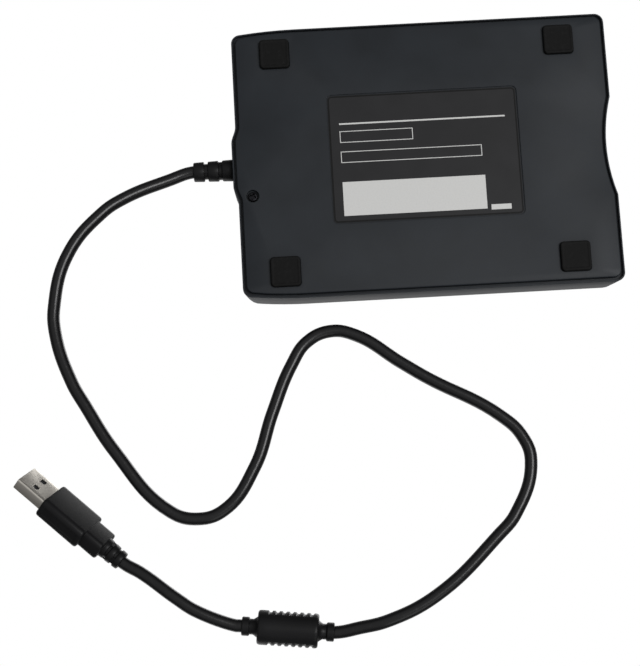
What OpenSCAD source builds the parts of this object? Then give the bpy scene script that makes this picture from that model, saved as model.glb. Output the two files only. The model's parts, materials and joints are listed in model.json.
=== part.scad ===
// External floppy disk drive with a USB cord, standing on its feet.
// +Z is up through the top cover, the disk slot faces -Y, the cord leaves towards +Y.
// Lengths are millimetres. The origin is on the floor, under the middle of the case.

/* [Case] */
// Width over the lower rim of the top cover
case_w = 104; // [103.6:0.2:112]
// Depth from the front face to the rear face
case_l = 142; // [141:0.5:150]
// Height from the underside to the top face
case_h = 17; // [16.8:0.1:20]
// Wall of the top cover
wall_t = 2; // [1.6:0.1:2.2]
// Thickness of the top face
roof_t = 1.8; // [1.4:0.1:2]
// Thickness of the bottom cover
floor_t = 1.6; // [1.4:0.1:1.8]
// Thickness of the lip that hides the seam
lip_t = 0.6; // [0.5:0.1:0.8]
// Width of the dark groove between the lip and the bottom cover
seam_gap = 0.9; // [0.6:0.1:1]
// Corner radius at the lower rim
rim_r = 3.4; // [3:0.1:5]
// Corner radius at the top face
top_r = 6; // [4:0.5:8]
// Rounding of the top edge
edge_r = 2; // [1:0.25:2.5]
// How much each long side draws in at the rear corner
side_taper = 1.6; // [0:0.1:2.5]
// Length over which it draws in
taper_l = 24; // [12:1:40]

/* [Finger notch and cord boss] */
// Width of the finger notch in the front edge
notch_w = 38; // [30:1:44]
// Depth of the finger notch
notch_d = 2.85; // [1:0.05:3]
// Width of the cord boss at its foot
boss_w = 29.5; // [26:0.5:34]
// How far the boss stands proud of the rear face
boss_d = 1.7; // [1:0.1:2.4]
// Length of the boss's curved flanks
boss_ramp = 6.4; // [4:0.2:8]

/* [Underside] */
// Side of a foot
foot_s = 11.2; // [9:0.2:13]
// Corner radius of a foot
foot_r = 1.5; // [0.5:0.1:3]
// How far the feet stand below the underside
foot_h = 1.5; // [1.5:0.1:2.5]
// Depth of the pocket that a foot is glued into
foot_pocket = 0.4; // [0.2:0.1:0.6]
// Distance between the feet across the case
foot_span_x = 84; // [80:0.5:86]
// From the rear face to the middle of the rear feet
foot_rear = 16.2; // [12:0.2:20]
// From the front face to the middle of the front feet
foot_front = 18.1; // [14:0.2:22]
// Length of the label recess, front to back
label_l = 72; // [60:1:80]
// Width of the label recess
label_w = 50; // [40:1:60]
// Corner radius of the label recess
label_r = 2; // [1:0.5:4]
// Depth of the label recess
label_d = 0.5; // [0.3:0.1:0.6]
// Thickness of the label
label_t = 0.2; // [0.1:0.05:0.25]
// From the rear face to the case screw
screw_rear = 5.4; // [5:0.1:6]
// From the middle of the case to the case screw
screw_x = 12.6; // [11:0.2:20]
// Diameter of the recess around the case screw
screw_recess = 4.9; // [4.6:0.1:6]

/* [Disk] */
// Width of a disk
disk_w = 90; // [90:0.1:90.4]
// Length of a disk, front to back
disk_l = 94; // [93:0.5:94]
// Thickness of a disk
disk_t = 3.3; // [3.2:0.1:3.5]
// From a disk's leading edge to the middle of its hub
hub_back = 47; // [46:0.5:48]
// Height of the disk slot
slot_h = 4.4; // [4.4:0.1:4.6]
// Drop of the cradle when a disk loads
drop = 2.5; // [2.2:0.1:2.6]
// Travel of the slide and the eject button
load_travel = 4; // [3:0.25:4.25]

/* [Mechanism] */
// Width of the mechanism
mech_w = 96; // [95.6:0.2:96]
// Length of the mechanism
mech_l = 122; // [121:0.5:122]
// Height of the mechanism
mech_h = 12.6; // [12.6:0.1:12.8]
// Sheet thickness of the chassis floor
pan_t = 0.8; // [0.6:0.1:0.9]
// Sheet thickness of sides, slide and cradle
sheet_t = 0.6; // [0.5:0.05:0.6]
// Diameter of the motor's rotor
rotor_d = 40; // [34:1:40]
// Lead of the stepper's screw, per turn
screw_lead = 3; // [2:0.5:4]
// Diameter of the lead screw
screw_d = 2.8; // [2.2:0.2:2.8]
// Diameter of the guide rod
rod_d = 3; // [2.4:0.1:3.2]
// Running clearance between a shaft and its bore, on the radius
run_gap = 0.05; // [0.02:0.01:0.08]
// Travel of the head carriage
head_travel = 14.8; // [13:0.1:14.8]

/* [Front controls] */
// Width of the eject button
button_w = 13; // [10:0.5:15]
// Height of the eject button
button_h = 4.2; // [3.6:0.1:4.2]
// Gap around the eject button
button_gap = 0.25; // [0.15:0.05:0.4]
// From the middle of the case to the eject button, and to the lamp on the other side
control_x = 36; // [32:0.5:37]
// Width of the lamp window
lamp_w = 4; // [3:0.2:5]
// Height of the lamp window
lamp_h = 1.6; // [1.2:0.1:2]

/* [Cord] */
// Diameter of the cord
cord_d = 4.7; // [4.4:0.1:5]
// Length of the strain relief outside the case
relief_l = 15; // [12:0.5:20]
// Diameter of the strain relief at the case
relief_d = 8.2; // [7.6:0.1:9]
// Diameter of the strain relief at its tip
relief_tip_d = 7.3; // [7:0.1:8]
// Diameter of the choke
choke_d = 12.4; // [12:0.2:15]
// Length of the choke's barrel
choke_l = 22; // [20:0.2:26]
// Width of the plug's overmould
plug_w = 16; // [15.4:0.1:17]
// Thickness of the plug's overmould
plug_t = 8.2; // [7.6:0.1:9]

/* [Hidden] */
$fn = 40;
e = 0.01;            // what a cutter runs past a face
gap = 0.3;           // between pieces that pass each other
depth_all = case_l + boss_d;

// The case
y_front = -depth_all / 2;
y_rear = y_front + case_l;
y_boss = y_rear + boss_d;
z_under = foot_h;
z_floor = z_under + floor_t;
z_top = z_under + case_h;
z_roof = z_top - roof_t;
z_mid = (z_under + z_top) / 2;
half_w = case_w / 2;
lip_z = z_under + 0.8;
seat_z = z_floor + 0.8;
plate_in = lip_t + seam_gap;
y_inner = y_front + wall_t;
y_notch_in = y_inner + notch_d;
y_rear_in = y_rear - wall_t;
screw_y = y_rear - screw_rear;

// The mechanism
pan_z = z_floor + 0.4;
deck_z = pan_z + pan_t;
mech_top = pan_z + mech_h;
mech_gap = 0.5;                            // between the front wall and the mechanism
mech_y0 = y_notch_in + mech_gap;
mech_y1 = mech_y0 + mech_l;
mech_x = mech_w / 2;
shield_t = 0.5;
side_top = mech_top - shield_t;

// The disk's seat in the cradle, and what moves with it
lip_top = deck_z + 5.3;                    // where a disk slides in
bay_top = lip_top + disk_t + 1;
cradle_top = bay_top + sheet_t;
rail_in = disk_w / 2 + 0.4;
rail_out = rail_in + 0.8;
slide_in = rail_out + gap;
slide_out = slide_in + sheet_t;
slide_z = cradle_top + gap;
slide_top = slide_z + sheet_t;
disk_y0 = y_front + 5.85;
disk_y1 = disk_y0 + disk_l;
hub_y = disk_y1 - hub_back;
loaded_z = lip_top - drop;
slot_w = disk_w + 2;
slot_z0 = lip_top + 0.1;
slot_z1 = slot_z0 + slot_h;
pin_ys = [hub_y - 26, hub_y + 34];
pin_z = lip_top + 2.6;
pin_d = 1.6;
cradle_y0 = disk_y0 + 5;
cradle_y1 = disk_y1 + 3;
arm_slot = 9;

// The heads
track_r = 39.5;                            // the outermost track
head_y = hub_y + track_r;
hinge_y = head_y + 26.5;
hinge_z = cradle_top - 0.2;
arm_z = cradle_top + 0.1;
arm_t = 0.8;
platform_z = loaded_z - 0.3;
lower_head_z = loaded_z + 1.45;
block_y0 = head_y + 23.9;
block_l = 9.2;
rod_x = 13;
rod_z = deck_z + 3.9;
screw_axis_x = -22;
screw_axis_z = deck_z + 5.3;
motor_y = block_y0 + 3.3;
motor_d = 10.4;
bearing_y = disk_y1 + 0.8;

// The dust door
door_pin_r = 0.7;
door_y = y_notch_in + door_pin_r + 0.35;
door_z = slot_z1 + 0.15;
door_half = disk_w / 2 + 0.6;
door_t = 0.7;

// The front controls
control_z = deck_z + 2.4;

// The shutter lever
lever_x = 6.4 - rail_in;
lever_y = disk_y1 - 8;
lever_r = 24;
lever_rest = -55;
lever_open = 20;
lever_pin_r = 1.3;

// The boards
motor_board_t = 0.8;
board_z = deck_z + motor_board_t;
drive_z = deck_z + 0.7;
drive_top = drive_z + 0.8;
usb_z = z_floor + 3.1;
usb_top = usb_z + 1;
usb_y0 = mech_y1 + 1.8;
usb_y1 = y_rear_in - 1;
flex_x = mech_x - 15;
flex_w = 12;

// The cord
cord_r = cord_d / 2;
cord_fit = 0.05;
relief_y1 = y_boss + relief_l;
cord_y0 = y_rear_in - 2.15;
choke_z = choke_d / 2;
// Middle of the choke, and the way its axis runs
choke_at = [172, 60, choke_z];
choke_turn = 97;
choke_arm = choke_l / 2 + 6.4;
plug_at = [139.5, 124.5, 8];
plug_turn = 133;
plug_roll = 57;
plug_relief = 7.6;
shell_w = 12;
shell_h = 4.5;
shell_t = 0.3;
shell_l = 12;
body_l = 27;

function along(turn, s) = [cos(turn) * s, sin(turn) * s, 0];

// The cord's route, by hand: out of the relief, down to the floor, round and into the choke
cord_long_route = concat([[0, cord_y0, z_mid], [0, cord_y0 + 10, z_mid], [0, relief_y1 + 1, z_mid],
    [2.5, 95.5, 9.2], [6, 105, 7.4], [10, 113.5, 5.4], [15.5, 121.5, 3.8], [22.5, 128.5, 2.8],
    [31, 134.5, cord_r], [40, 138, cord_r], [50, 140, cord_r], [59.5, 140, cord_r],
    [70, 137.5, cord_r], [78.5, 134.5, cord_r], [88, 129.5, cord_r], [97, 124.5, cord_r],
    [105, 119.5, cord_r], [114, 113.5, cord_r], [121, 108, cord_r], [128, 100, cord_r],
    [131, 91, cord_r], [128.5, 81, cord_r], [121.5, 74, cord_r], [113.5, 69, cord_r],
    [104, 65, cord_r], [94, 61.5, cord_r], [85.5, 58, cord_r], [76.5, 53.5, cord_r],
    [68.5, 47.5, cord_r], [65, 38.5, cord_r], [67, 29.5, cord_r], [72.5, 20.5, cord_r],
    [78, 13.5, cord_r], [84, 4.5, cord_r], [89.5, -5, cord_r], [94, -13, cord_r],
    [99.5, -21.5, cord_r], [107.5, -29, cord_r], [116.5, -31.5, cord_r], [127.5, -29, cord_r],
    [135.5, -24.5, cord_r], [143, -17.5, cord_r], [150, -10.5, cord_r], [156.5, -3, cord_r],
    [163, 6, cord_r], [168, 15.5, cord_r], [171, 24, 3], [173, 34.5, 4.9]],
    [choke_at - along(choke_turn, choke_arm), choke_at + along(choke_turn, choke_arm)]);
cord_short_route = concat([for (s = [0, 1.5]) choke_at + along(choke_turn, choke_arm + s)],
    [[167.5, 86, 5.6], [164.5, 93.5, 5], [160, 100, 5], [155, 106.5, 5.6], [150, 112.5, 6.8]],
    [for (s = [plug_relief + 1, -1.8]) plug_at - along(plug_turn, s)]);

// ---------------------------------------------------------------- helpers

// A block between two opposite corners
module span(a, b) {
    translate(a) cube(b - a);
}

// A rod along one axis from a point
module rod_y(at, r, l) {
    translate(at) rotate([-90, 0, 0]) cylinder(r = r, h = l);
}

module rod_x(at, r, l) {
    translate(at) rotate([0, 90, 0]) cylinder(r = r, h = l);
}

// A plate with rounded corners, from its middle
module pad(size, r, h) {
    linear_extrude(h) rounded(size, r);
}

module rounded(size, r) {
    square([size.x - 2 * r, size.y], center = true);
    square([size.x, size.y - 2 * r], center = true);
    for (sx = [-1, 1], sy = [-1, 1])
        translate([sx * (size.x / 2 - r), sy * (size.y / 2 - r)]) circle(r, $fn = 24);
}

// A slot of width d from one point to another, drawn flat
module slot(a, b, d) {
    turn = atan2(b.y - a.y, b.x - a.x);
    for (p = [a, b]) translate(p) circle(d / 2, $fn = 24);
    translate(a) rotate(turn) translate([0, -d / 2]) square([norm(b - a), d]);
}

// Both sides of the middle plane
module both() {
    children();
    mirror([1, 0, 0]) children();
}

// Outline of the case, drawn in by d, with corners of radius r
function notch_at(x) = abs(x) < notch_w / 2 ? notch_d * (1 - pow(2 * x / notch_w, 2)) : 0;
function ease(t) = t <= 0 ? 0 : t >= 1 ? 1 : t * t * (3 - 2 * t);
function boss_at(x) = boss_d * ease((boss_w / 2 - abs(x)) / boss_ramp);
function side_at(y) = side_taper * pow(max(0, y - y_rear + taper_l) / taper_l, 2);

function half_outline(d, r) =
    let(x1 = half_w - d, rear_in = side_at(y_rear - r))
    concat(
        [for (i = [0:8]) let(x = notch_w / 2 * i / 8) [x, y_front + notch_at(x) + d]],
        [for (i = [0:6]) let(a = -90 + 15 * i) [x1 - r + r * cos(a), y_front + d + r + r * sin(a)]],
        [for (i = [0:3]) let(y = y_rear - taper_l + (taper_l - d - r) * i / 4) [x1 - side_at(y), y]],
        [for (i = [0:6]) let(a = 15 * i)
            [x1 - rear_in - r + r * cos(a), y_rear - d - r + r * sin(a)]],
        [for (i = [0:8]) let(x = boss_w / 2 - boss_ramp * i / 8) [x, y_rear + boss_at(x) - d]]);

function outline(d, r) =
    let(half = half_outline(d, r), n = len(half))
    concat(half, [for (i = [n - 1:-1:1]) [-half[i].x, half[i].y]]);

// A solid through outlines: each level is [height, inset, corner radius]
module loft(levels) {
    rings = [for (v = levels) outline(v[1], v[2])];
    n = len(rings[0]);
    last = len(levels) - 1;
    top = last * n;
    foot = len(levels) * n;
    points = concat([for (k = [0:last]) for (p = rings[k]) [p.x, p.y, levels[k][0]]],
        [[0, 0, levels[0][0]], [0, 0, levels[last][0]]]);
    sides = [for (k = [0:last - 1]) for (i = [0:n - 1])
        let(a = k * n + i, b = k * n + (i + 1) % n)
        each [[a, a + n, b + n], [a, b + n, b]]];
    ends = [for (i = [0:n - 1]) let(j = (i + 1) % n) each [[foot, i, j], [foot + 1, top + j, top + i]]];
    polyhedron(points, concat(sides, ends), convexity = 6);
}

// A tube swept along a route with k sides, its corners on radius r
function tangent(p, i) = let(a = p[max(i - 1, 0)], b = p[min(i + 1, len(p) - 1)]) (b - a) / norm(b - a);
module sweep(route, r, k) {
    last = len(route) - 1;
    points = [for (i = [0:last])
        let(t = tangent(route, i), side = cross(t, [0, 0, 1]), u = side / norm(side), v = cross(u, t))
        for (j = [0:k - 1]) let(a = 360 * (j + 0.5) / k) route[i] + u * r * cos(a) + v * r * sin(a)];
    walls = [for (i = [0:last - 1]) for (j = [0:k - 1])
        let(a = i * k + j, b = i * k + (j + 1) % k)
        each [[a, b, b + k], [a, b + k, a + k]]];
    polyhedron(points, concat([[for (j = [k - 1:-1:0]) j]], walls,
        [[for (j = [0:k - 1]) last * k + j]]), convexity = 8);
}

// A coil spring along +Z: mean radius, wire radius, height and turns
module coil(r, wire, h, turns) {
    n = turns * 10;
    route = [for (i = [0:n]) [r * cos(36 * i), r * sin(36 * i), wire + (h - 2 * wire) * i / n]];
    points = [for (i = [0:n]) let(a = 36 * i) for (j = [0:5])
        route[i] + wire * (cos(60 * j) * [cos(a), sin(a), 0] + sin(60 * j) * [0, 0, 1])];
    walls = [for (i = [0:n - 1]) for (j = [0:5])
        let(a = i * 6 + j, b = i * 6 + (j + 1) % 6)
        each [[a, b + 6, b], [a, a + 6, b + 6]]];
    polyhedron(points, concat([[for (j = [0:5]) j]], walls,
        [[for (j = [5:-1:0]) n * 6 + j]]), convexity = 8);
}

// A small crosshead screw, head down at z = 0, with its shank going up
module cross_screw(head_d, head_t, d, l) {
    difference() {
        cylinder(d = head_d, h = head_t);
        for (a = [0, 90]) rotate(a) translate([-head_d * 0.32, -0.25, -e]) cube([head_d * 0.64, 0.5, head_t * 0.6]);
    }
    translate([0, 0, head_t]) cylinder(d = d, h = l);
}

// ---------------------------------------------------------------- casing

// The rounded top edge, as levels of the loft
function edge_levels(z, r, inset, corner) =
    [for (i = [0:4]) let(a = 22.5 * i) [z - r + r * sin(a), inset + r * (1 - cos(a)), corner]];

module top_cover() {
    draft = 0.3;
    color([0.17, 0.17, 0.18]) {
        difference() {
            loft(concat([[lip_z, 0.15, rim_r], [lip_z + 0.3, 0, rim_r], [z_mid, draft / 2, (rim_r + top_r) / 2]],
                edge_levels(z_top, edge_r, draft, top_r)));
            loft([[lip_z - 1, lip_t, rim_r - lip_t], [seat_z, lip_t, rim_r - lip_t],
                [seat_z, wall_t, rim_r - 1], [z_roof, wall_t, top_r - wall_t]]);
            disk_mouth();
            span([control_x - button_w / 2 - button_gap, y_front - 1, control_z - button_h / 2 - button_gap],
                [control_x + button_w / 2 + button_gap, y_inner + 1, control_z + button_h / 2 + button_gap]);
            span([-control_x - lamp_w / 2, y_front - 1, control_z - lamp_h / 2],
                [-control_x + lamp_w / 2, y_inner + 1, control_z + lamp_h / 2]);
            rod_y([0, y_rear - 6, z_mid], relief_d / 2 - 0.8, 12);
        }
        door_bearings();
        screw_post();
        roof_ribs();
    }
}

// The slot that the disk goes in by, with flared lips
module disk_mouth() {
    span([-slot_w / 2, y_front - 1, slot_z0], [slot_w / 2, y_notch_in + 0.4, slot_z1]);
    for (s = [-1, 1])
        translate([0, y_front - 0.4, (slot_z0 + slot_z1) / 2 + s * slot_h / 2])
            rotate([45, 0, 0]) cube([slot_w, 1.2, 1.2], center = true);
}

// Ears under the roof that the door's pins turn in
module door_bearings() {
    both() difference() {
        span([door_half + gap, y_inner - 0.2, door_z - 2], [door_half + gap + 1.2, door_y + 1.8, z_roof + 0.2]);
        rod_x([door_half, door_y, door_z], door_pin_r + run_gap, 3);
    }
}

// The post that the case screw holds
module screw_post() {
    translate([screw_x, screw_y, seat_z + 0.7]) difference() {
        cylinder(d = 5.6, h = z_roof - seat_z - 0.5);
        translate([0, 0, -e]) cylinder(r = 1.15, h = 8);
    }
}

// Ribs that stiffen the roof
module roof_ribs() {
    for (x = [-30, 0, 30])
        span([x - 0.5, mech_y0 + 8, z_roof - 0.4], [x + 0.5, mech_y1 - 6, z_roof + 0.2]);
}

module bottom_cover() {
    rim_in = wall_t + mech_gap - gap;
    color([0.18, 0.18, 0.19]) {
        difference() {
            union() {
                difference() {
                    loft([[z_under, plate_in + 0.45, rim_r - 0.9], [z_under + 0.15, plate_in + 0.15, rim_r - 0.8],
                        [z_under + 0.5, plate_in, rim_r - 0.7], [seat_z, plate_in, rim_r - 0.7]]);
                    loft([[z_floor, rim_in, rim_r - 1.2], [seat_z + 1, rim_in, rim_r - 1.2]]);
                }
                translate([screw_x, screw_y, z_floor - 0.2]) cylinder(d = 7, h = seat_z + 0.6 - z_floor + 0.2);
                pan_seats();
                board_posts();
            }
            label_bed();
            for (p = foot_places) translate([p.x, p.y, z_under - e]) pad([foot_s + 0.2, foot_s + 0.2], foot_r, foot_pocket + e);
            translate([screw_x, screw_y, z_under - e]) cylinder(d = screw_recess, h = z_floor + 0.2 - z_under + e);
            translate([screw_x, screw_y, z_under]) cylinder(r = 1.2, h = 6);
        }
    }
}

label_y = (y_front + y_rear) / 2 + 0.3;
foot_places = [[-foot_span_x / 2, y_rear - foot_rear], [foot_span_x / 2, y_rear - foot_rear],
    [-foot_span_x / 2, y_front + foot_front], [foot_span_x / 2, y_front + foot_front]];

// The shallow recess for the label
module label_bed() {
    translate([0, label_y, z_under - e]) pad([label_w, label_l], label_r, label_d + e);
}

// Low seats under the mechanism, the front pair with locating pegs
module pan_seats() {
    for (x = [-peg_x, peg_x], y = [mech_y0 + 6, hub_y, mech_y1 - 12])
        translate([x, y, z_floor - 0.2]) cylinder(d = 5, h = pan_z - z_floor + 0.2);
    for (x = [-peg_x, peg_x]) translate([x, mech_y0 + 6, pan_z - e]) cylinder(r = 1.2, h = pan_t + 0.4);
    for (x = [-ear_x, ear_x]) translate([x, mech_y1 + 3, z_floor - 0.2]) difference() {
        cylinder(d = 4.6, h = ear_z - z_floor + 0.2);
        translate([0, 0, 0.6]) cylinder(r = 0.95, h = 6);
    }
}

ear_z = deck_z + 2.2;
ear_x = mech_x - 3;
peg_x = mech_x - 4;
post_x = mech_x - 12;

// Posts with pegs that carry the USB board
module board_posts() {
    for (x = [-post_x, post_x]) translate([x, usb_y0 + 5, 0]) {
        translate([0, 0, z_floor - 0.2]) cylinder(d = 4, h = usb_z - z_floor + 0.2);
        translate([0, 0, usb_z - e]) cylinder(r = 0.9, h = 1.8);
    }
}

module label_plate() {
    color([0.16, 0.15, 0.16])
        translate([0, label_y, z_under + label_d - label_t])
            pad([label_w - 1, label_l - 1], label_r - 0.5, label_t);
}

// One rubber foot, its lower edge rounded off
module foot(i) {
    color([0.11, 0.11, 0.11]) translate([foot_places[i].x, foot_places[i].y, 0]) {
        pad([foot_s - 0.5, foot_s - 0.5], foot_r - 0.25, 0.3);
        translate([0, 0, 0.25]) pad([foot_s, foot_s], foot_r, foot_h + foot_pocket - 0.25);
    }
}

module foot_rear_left() foot(0);
module foot_rear_right() foot(1);
module foot_front_left() foot(2);
module foot_front_right() foot(3);

module case_screw() {
    color([0.1, 0.1, 0.1]) translate([screw_x, screw_y, z_floor - 1]) cross_screw(4, 1.2, 2.2, 6.5);
}

module dust_door() {
    low = slot_z0 + 0.1;
    color([0.14, 0.14, 0.15]) {
        span([-door_half + 4, door_y - door_t / 2, low], [door_half, door_y + door_t / 2, door_z]);
        span([-door_half, door_y - door_t / 2, low], [-door_half + 4.1, door_y + door_t / 2, door_z - 1.6]);
        rod_x([-door_half + 3.9, door_y, door_z], door_pin_r, 2 * door_half - 3.9);
        rod_x([-door_half - 1.3, door_y, door_z], door_pin_r, 5.3);
        rod_x([door_half - e, door_y, door_z], door_pin_r, 1.3);
    }
}

// The torsion spring on the door's left pin
module door_spring() {
    color([0.7, 0.7, 0.72]) translate([-door_half + 0.2, door_y, door_z]) rotate([0, 90, 0]) coil(1.05, 0.2, 3, 4);
}

module eject_button() {
    z0 = control_z - button_h / 2;
    color([0.15, 0.15, 0.16]) {
        translate([control_x, 0, control_z]) rotate([90, 0, 0])
            translate([0, 0, -y_inner - 1]) pad([button_w, button_h], 0.8, y_inner + 1 - y_front);
        span([control_x - button_w / 2, y_inner + 0.9, z0], [control_x + button_w / 2, tab_y, z0 + button_h]);
        span([control_x - button_w / 2 - 1, tab_y - 1, z0], [control_x + button_w / 2 + 1, tab_y, z0 + button_h]);
    }
}

tab_y = y_inner + 1 + load_travel + gap;

led_y = disk_y0 + 2;

module light_pipe() {
    color([0.8, 0.85, 0.8, 0.6]) {
        span([-control_x - lamp_w / 2 + 0.05, y_front + 0.1, control_z - lamp_h / 2 + 0.05],
            [-control_x + lamp_w / 2 - 0.05, led_y - 0.2, control_z + lamp_h / 2 - 0.05]);
        span([-control_x - lamp_w / 2 - 0.6, y_inner + 0.1, control_z - lamp_h / 2 - 0.5],
            [-control_x + lamp_w / 2 + 0.6, y_inner + 1, control_z + lamp_h / 2 + 0.5]);
    }
}

// ---------------------------------------------------------------- mechanism frame

module mech_chassis() {
    color([0.72, 0.73, 0.75]) {
        difference() {
            union() {
                span([-mech_x, mech_y0, pan_z], [mech_x, mech_y1, deck_z]);
                both() span([mech_x - sheet_t, mech_y0, pan_z], [mech_x, mech_y1, side_top]);
                span([-mech_x, mech_y1 - sheet_t, pan_z], [mech_x, mech_y1, side_top]);
                both() span([ear_x - 2.5, mech_y1 - e, ear_z], [ear_x + 2.5, mech_y1 + 5, ear_z + sheet_t]);
            }
            for (x = [-peg_x, peg_x]) translate([x, mech_y0 + 6, pan_z - 1]) cylinder(r = 1.3, h = 4);
            for (x = [-ear_x, ear_x]) translate([x, mech_y1 + 3, ear_z - 1]) cylinder(r = 1.1, h = 4);
            translate([0, hub_y, pan_z - 1]) cylinder(r = 4, h = 4);
            for (y = pin_ys) both()
                span([mech_x - 1, y - pin_d / 2 - 0.15, pin_z - drop - 1.2], [mech_x + 1, y + pin_d / 2 + 0.15, side_top + 1]);
            span([flex_x - flex_w / 2 - 1, mech_y1 - 1, deck_z + 0.9], [flex_x + flex_w / 2 + 1, mech_y1 + 1, deck_z + 4.6]);
            for (x = [-24, -12]) span([x - 4.5, hub_y + 26, pan_z - 1], [x + 4.5, disk_y1 - 6, deck_z + 1]);
        }
        // Pins that a loaded disk rests on
        for (x = [-rest_x, rest_x], y = [disk_y0 + 11, disk_y1 - 6]) translate([x, y, deck_z - 0.1]) {
            cylinder(r = 1.5, h = loaded_z - deck_z - 0.4);
            cylinder(r = 0.8, h = loaded_z - deck_z + 0.1);
        }
        // Anchors for the load springs
        both() span([spring_x - 2.2, spring_y1, deck_z - 0.1], [spring_x + 2.2, spring_y1 + 0.8, spring_z + 2.2]);
    }
}

rest_x = mech_x - 14;
spring_x = mech_x - 5;
spring_z = deck_z + 7;
spring_y0 = disk_y1 + 9;
spring_y1 = spring_y0 + 13;

module mech_shield() {
    color([0.75, 0.76, 0.78]) difference() {
        span([-mech_x, mech_y0 + 5, side_top], [mech_x, mech_y1, mech_top]);
        translate([0, hub_y, side_top - 1]) cylinder(r = 13, h = 3);
        translate([0, head_y - 4, side_top - 1]) linear_extrude(3) slot([0, -16], [0, 4], 16);
        for (x = [-26, 26]) translate([x, hub_y - 24, side_top - 1]) linear_extrude(3) slot([-12, 0], [12, 0], 5);
    }
}

module mech_screws() {
    color([0.6, 0.6, 0.62]) for (x = [-ear_x, ear_x])
        translate([x, mech_y1 + 3, ear_z + sheet_t + 1]) rotate([180, 0, 0]) cross_screw(3.6, 1, 1.8, 3.4);
}

// ---------------------------------------------------------------- load and eject

slide_y0 = cradle_y0 + 3.9;
slide_y1 = spring_y0 - 1;

module slide_plate() {
    tab_z0 = control_z - 1.3;
    tab_z1 = control_z + 1.6;
    color([0.68, 0.69, 0.72]) {
        difference() {
            span([-slide_out, slide_y0, slide_z], [slide_out, slide_y1, slide_top]);
            span([-slide_in + 2.5, hub_y + 13, slide_z - 1], [slide_in - 2.5, slide_y1 + 1, slide_top + 1]);
            translate([0, hub_y - 4, slide_z - 1]) cylinder(r = 15, h = 3);
            for (x = [-28, 28]) translate([x, hub_y - 10, slide_z - 1]) linear_extrude(3) slot([0, -8], [0, 12], 8);
        }
        both() difference() {
            span([slide_in, slide_y0, lip_top - 0.4], [slide_out, slide_y1, slide_top]);
            for (y = pin_ys) rotate([90, 0, 90]) translate([0, 0, slide_in - 1])
                linear_extrude(3) union() {
                    slot([y, pin_z], [y + load_travel, pin_z - drop], pin_d + 0.2);
                    slot([y + load_travel, pin_z - drop], [y + load_travel, pin_z - drop - 3], pin_d + 0.2);
                }
        }
        // The arm that reaches forward to the button
        span([slide_in, tab_y + 0.6, tab_z0], [slide_out, slide_y0 + 8, lip_top - 0.3]);
        span([control_x - 3, tab_y, tab_z0], [slide_out, tab_y + sheet_t, tab_z1]);
        // Tabs that the load springs push
        both() span([spring_x - 2.2, slide_y1 - sheet_t, spring_z - 2.2], [slide_out, slide_y1, slide_z + 0.1]);
    }
}

module load_springs() {
    color([0.72, 0.72, 0.74]) both() translate([spring_x, slide_y1 + 0.1, spring_z]) rotate([-90, 0, 0])
        coil(1.6, 0.25, spring_y1 - slide_y1 - 0.2, 8);
}

module disk_cradle() {
    color([0.66, 0.67, 0.7]) {
        difference() {
            union() {
                span([-rail_out, cradle_y0, bay_top], [rail_out, cradle_y1, cradle_top]);
                span([arm_slot, cradle_y1 - e, bay_top], [arm_slot + 6, ear_y + 2.4, cradle_top]);
            }
            span([-arm_slot, head_y - 22, bay_top - 1], [arm_slot, cradle_y1 + 8, cradle_top + 1]);
            translate([lever_x, lever_y, bay_top - 1]) arc_slot(lever_r, lever_rest - 2, lever_open + 2, 2 * lever_pin_r + 0.8, 3);
            translate([0, hub_y - 2, bay_top - 1]) cylinder(r = 14, h = 3);
            translate([lever_x, lever_y, bay_top - 1]) cylinder(r = 0.75, h = 3);
        }
        both() {
            span([rail_in, cradle_y0, lip_top - sheet_t], [rail_out, cradle_y1, cradle_top]);
            span([rail_in - 2.4, cradle_y0, lip_top - sheet_t], [rail_in + 0.1, cradle_y1, lip_top]);
            for (y = pin_ys) rod_x([rail_out - 0.1, y, pin_z], pin_d / 2, mech_x - rail_out - 0.1);
        }
    }
}

// A curved slot about the origin
module arc_slot(r, from, to, w, h) {
    n = 18;
    function polar(r, a) = r * [cos(a), sin(a)];
    linear_extrude(h) polygon(concat(
        [for (i = [0:n]) polar(r + w / 2, from + (to - from) * i / n)],
        [for (i = [1:7]) polar(r, to) + polar(w / 2, to + 22.5 * i)],
        [for (i = [n:-1:0]) polar(r - w / 2, from + (to - from) * i / n)],
        [for (i = [1:7]) polar(r, from) + polar(w / 2, from + 180 + 22.5 * i)]));
}

// It sweeps the shutter open as the disk's leading edge pushes its pin back
module shutter_lever() {
    z0 = cradle_top + 0.1;
    tip = lever_r * [cos(lever_rest), sin(lever_rest)];
    color([0.75, 0.72, 0.66]) translate([lever_x, lever_y, 0]) {
        translate([0, 0, z0]) linear_extrude(0.6) {
            slot([0, 0], tip, 3.4);
            circle(2.6);
        }
        translate([0, 0, bay_top - 0.3]) cylinder(r = 0.7, h = z0 + 0.5 - bay_top);
        translate([tip.x, tip.y, lip_top + 0.6]) cylinder(r = lever_pin_r, h = z0 + 0.5 - lip_top - 0.6);
    }
}

module shutter_spring() {
    color([0.7, 0.7, 0.72]) translate([lever_x, lever_y, cradle_top + 0.7]) difference() {
        cylinder(r = 2.2, h = 0.3);
        translate([0, 0, -1]) cylinder(r = 1.5, h = 3);
    }
}

// ---------------------------------------------------------------- spindle

module motor_board() {
    color([0.1, 0.35, 0.25]) translate([0, 0, deck_z]) difference() {
        union() {
            span([7 - mech_x, disk_y0 + 2, 0], [mech_x - 7, hub_y + 14, motor_board_t]);
            translate([0, hub_y, 0]) cylinder(r = rotor_d / 2 + 1, h = motor_board_t);
        }
        translate([0, hub_y, -1]) cylinder(r = 4, h = 4);
        for (x = [-rest_x, rest_x]) translate([x, disk_y0 + 11, -1]) cylinder(r = 2, h = 4);
    }
}

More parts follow.
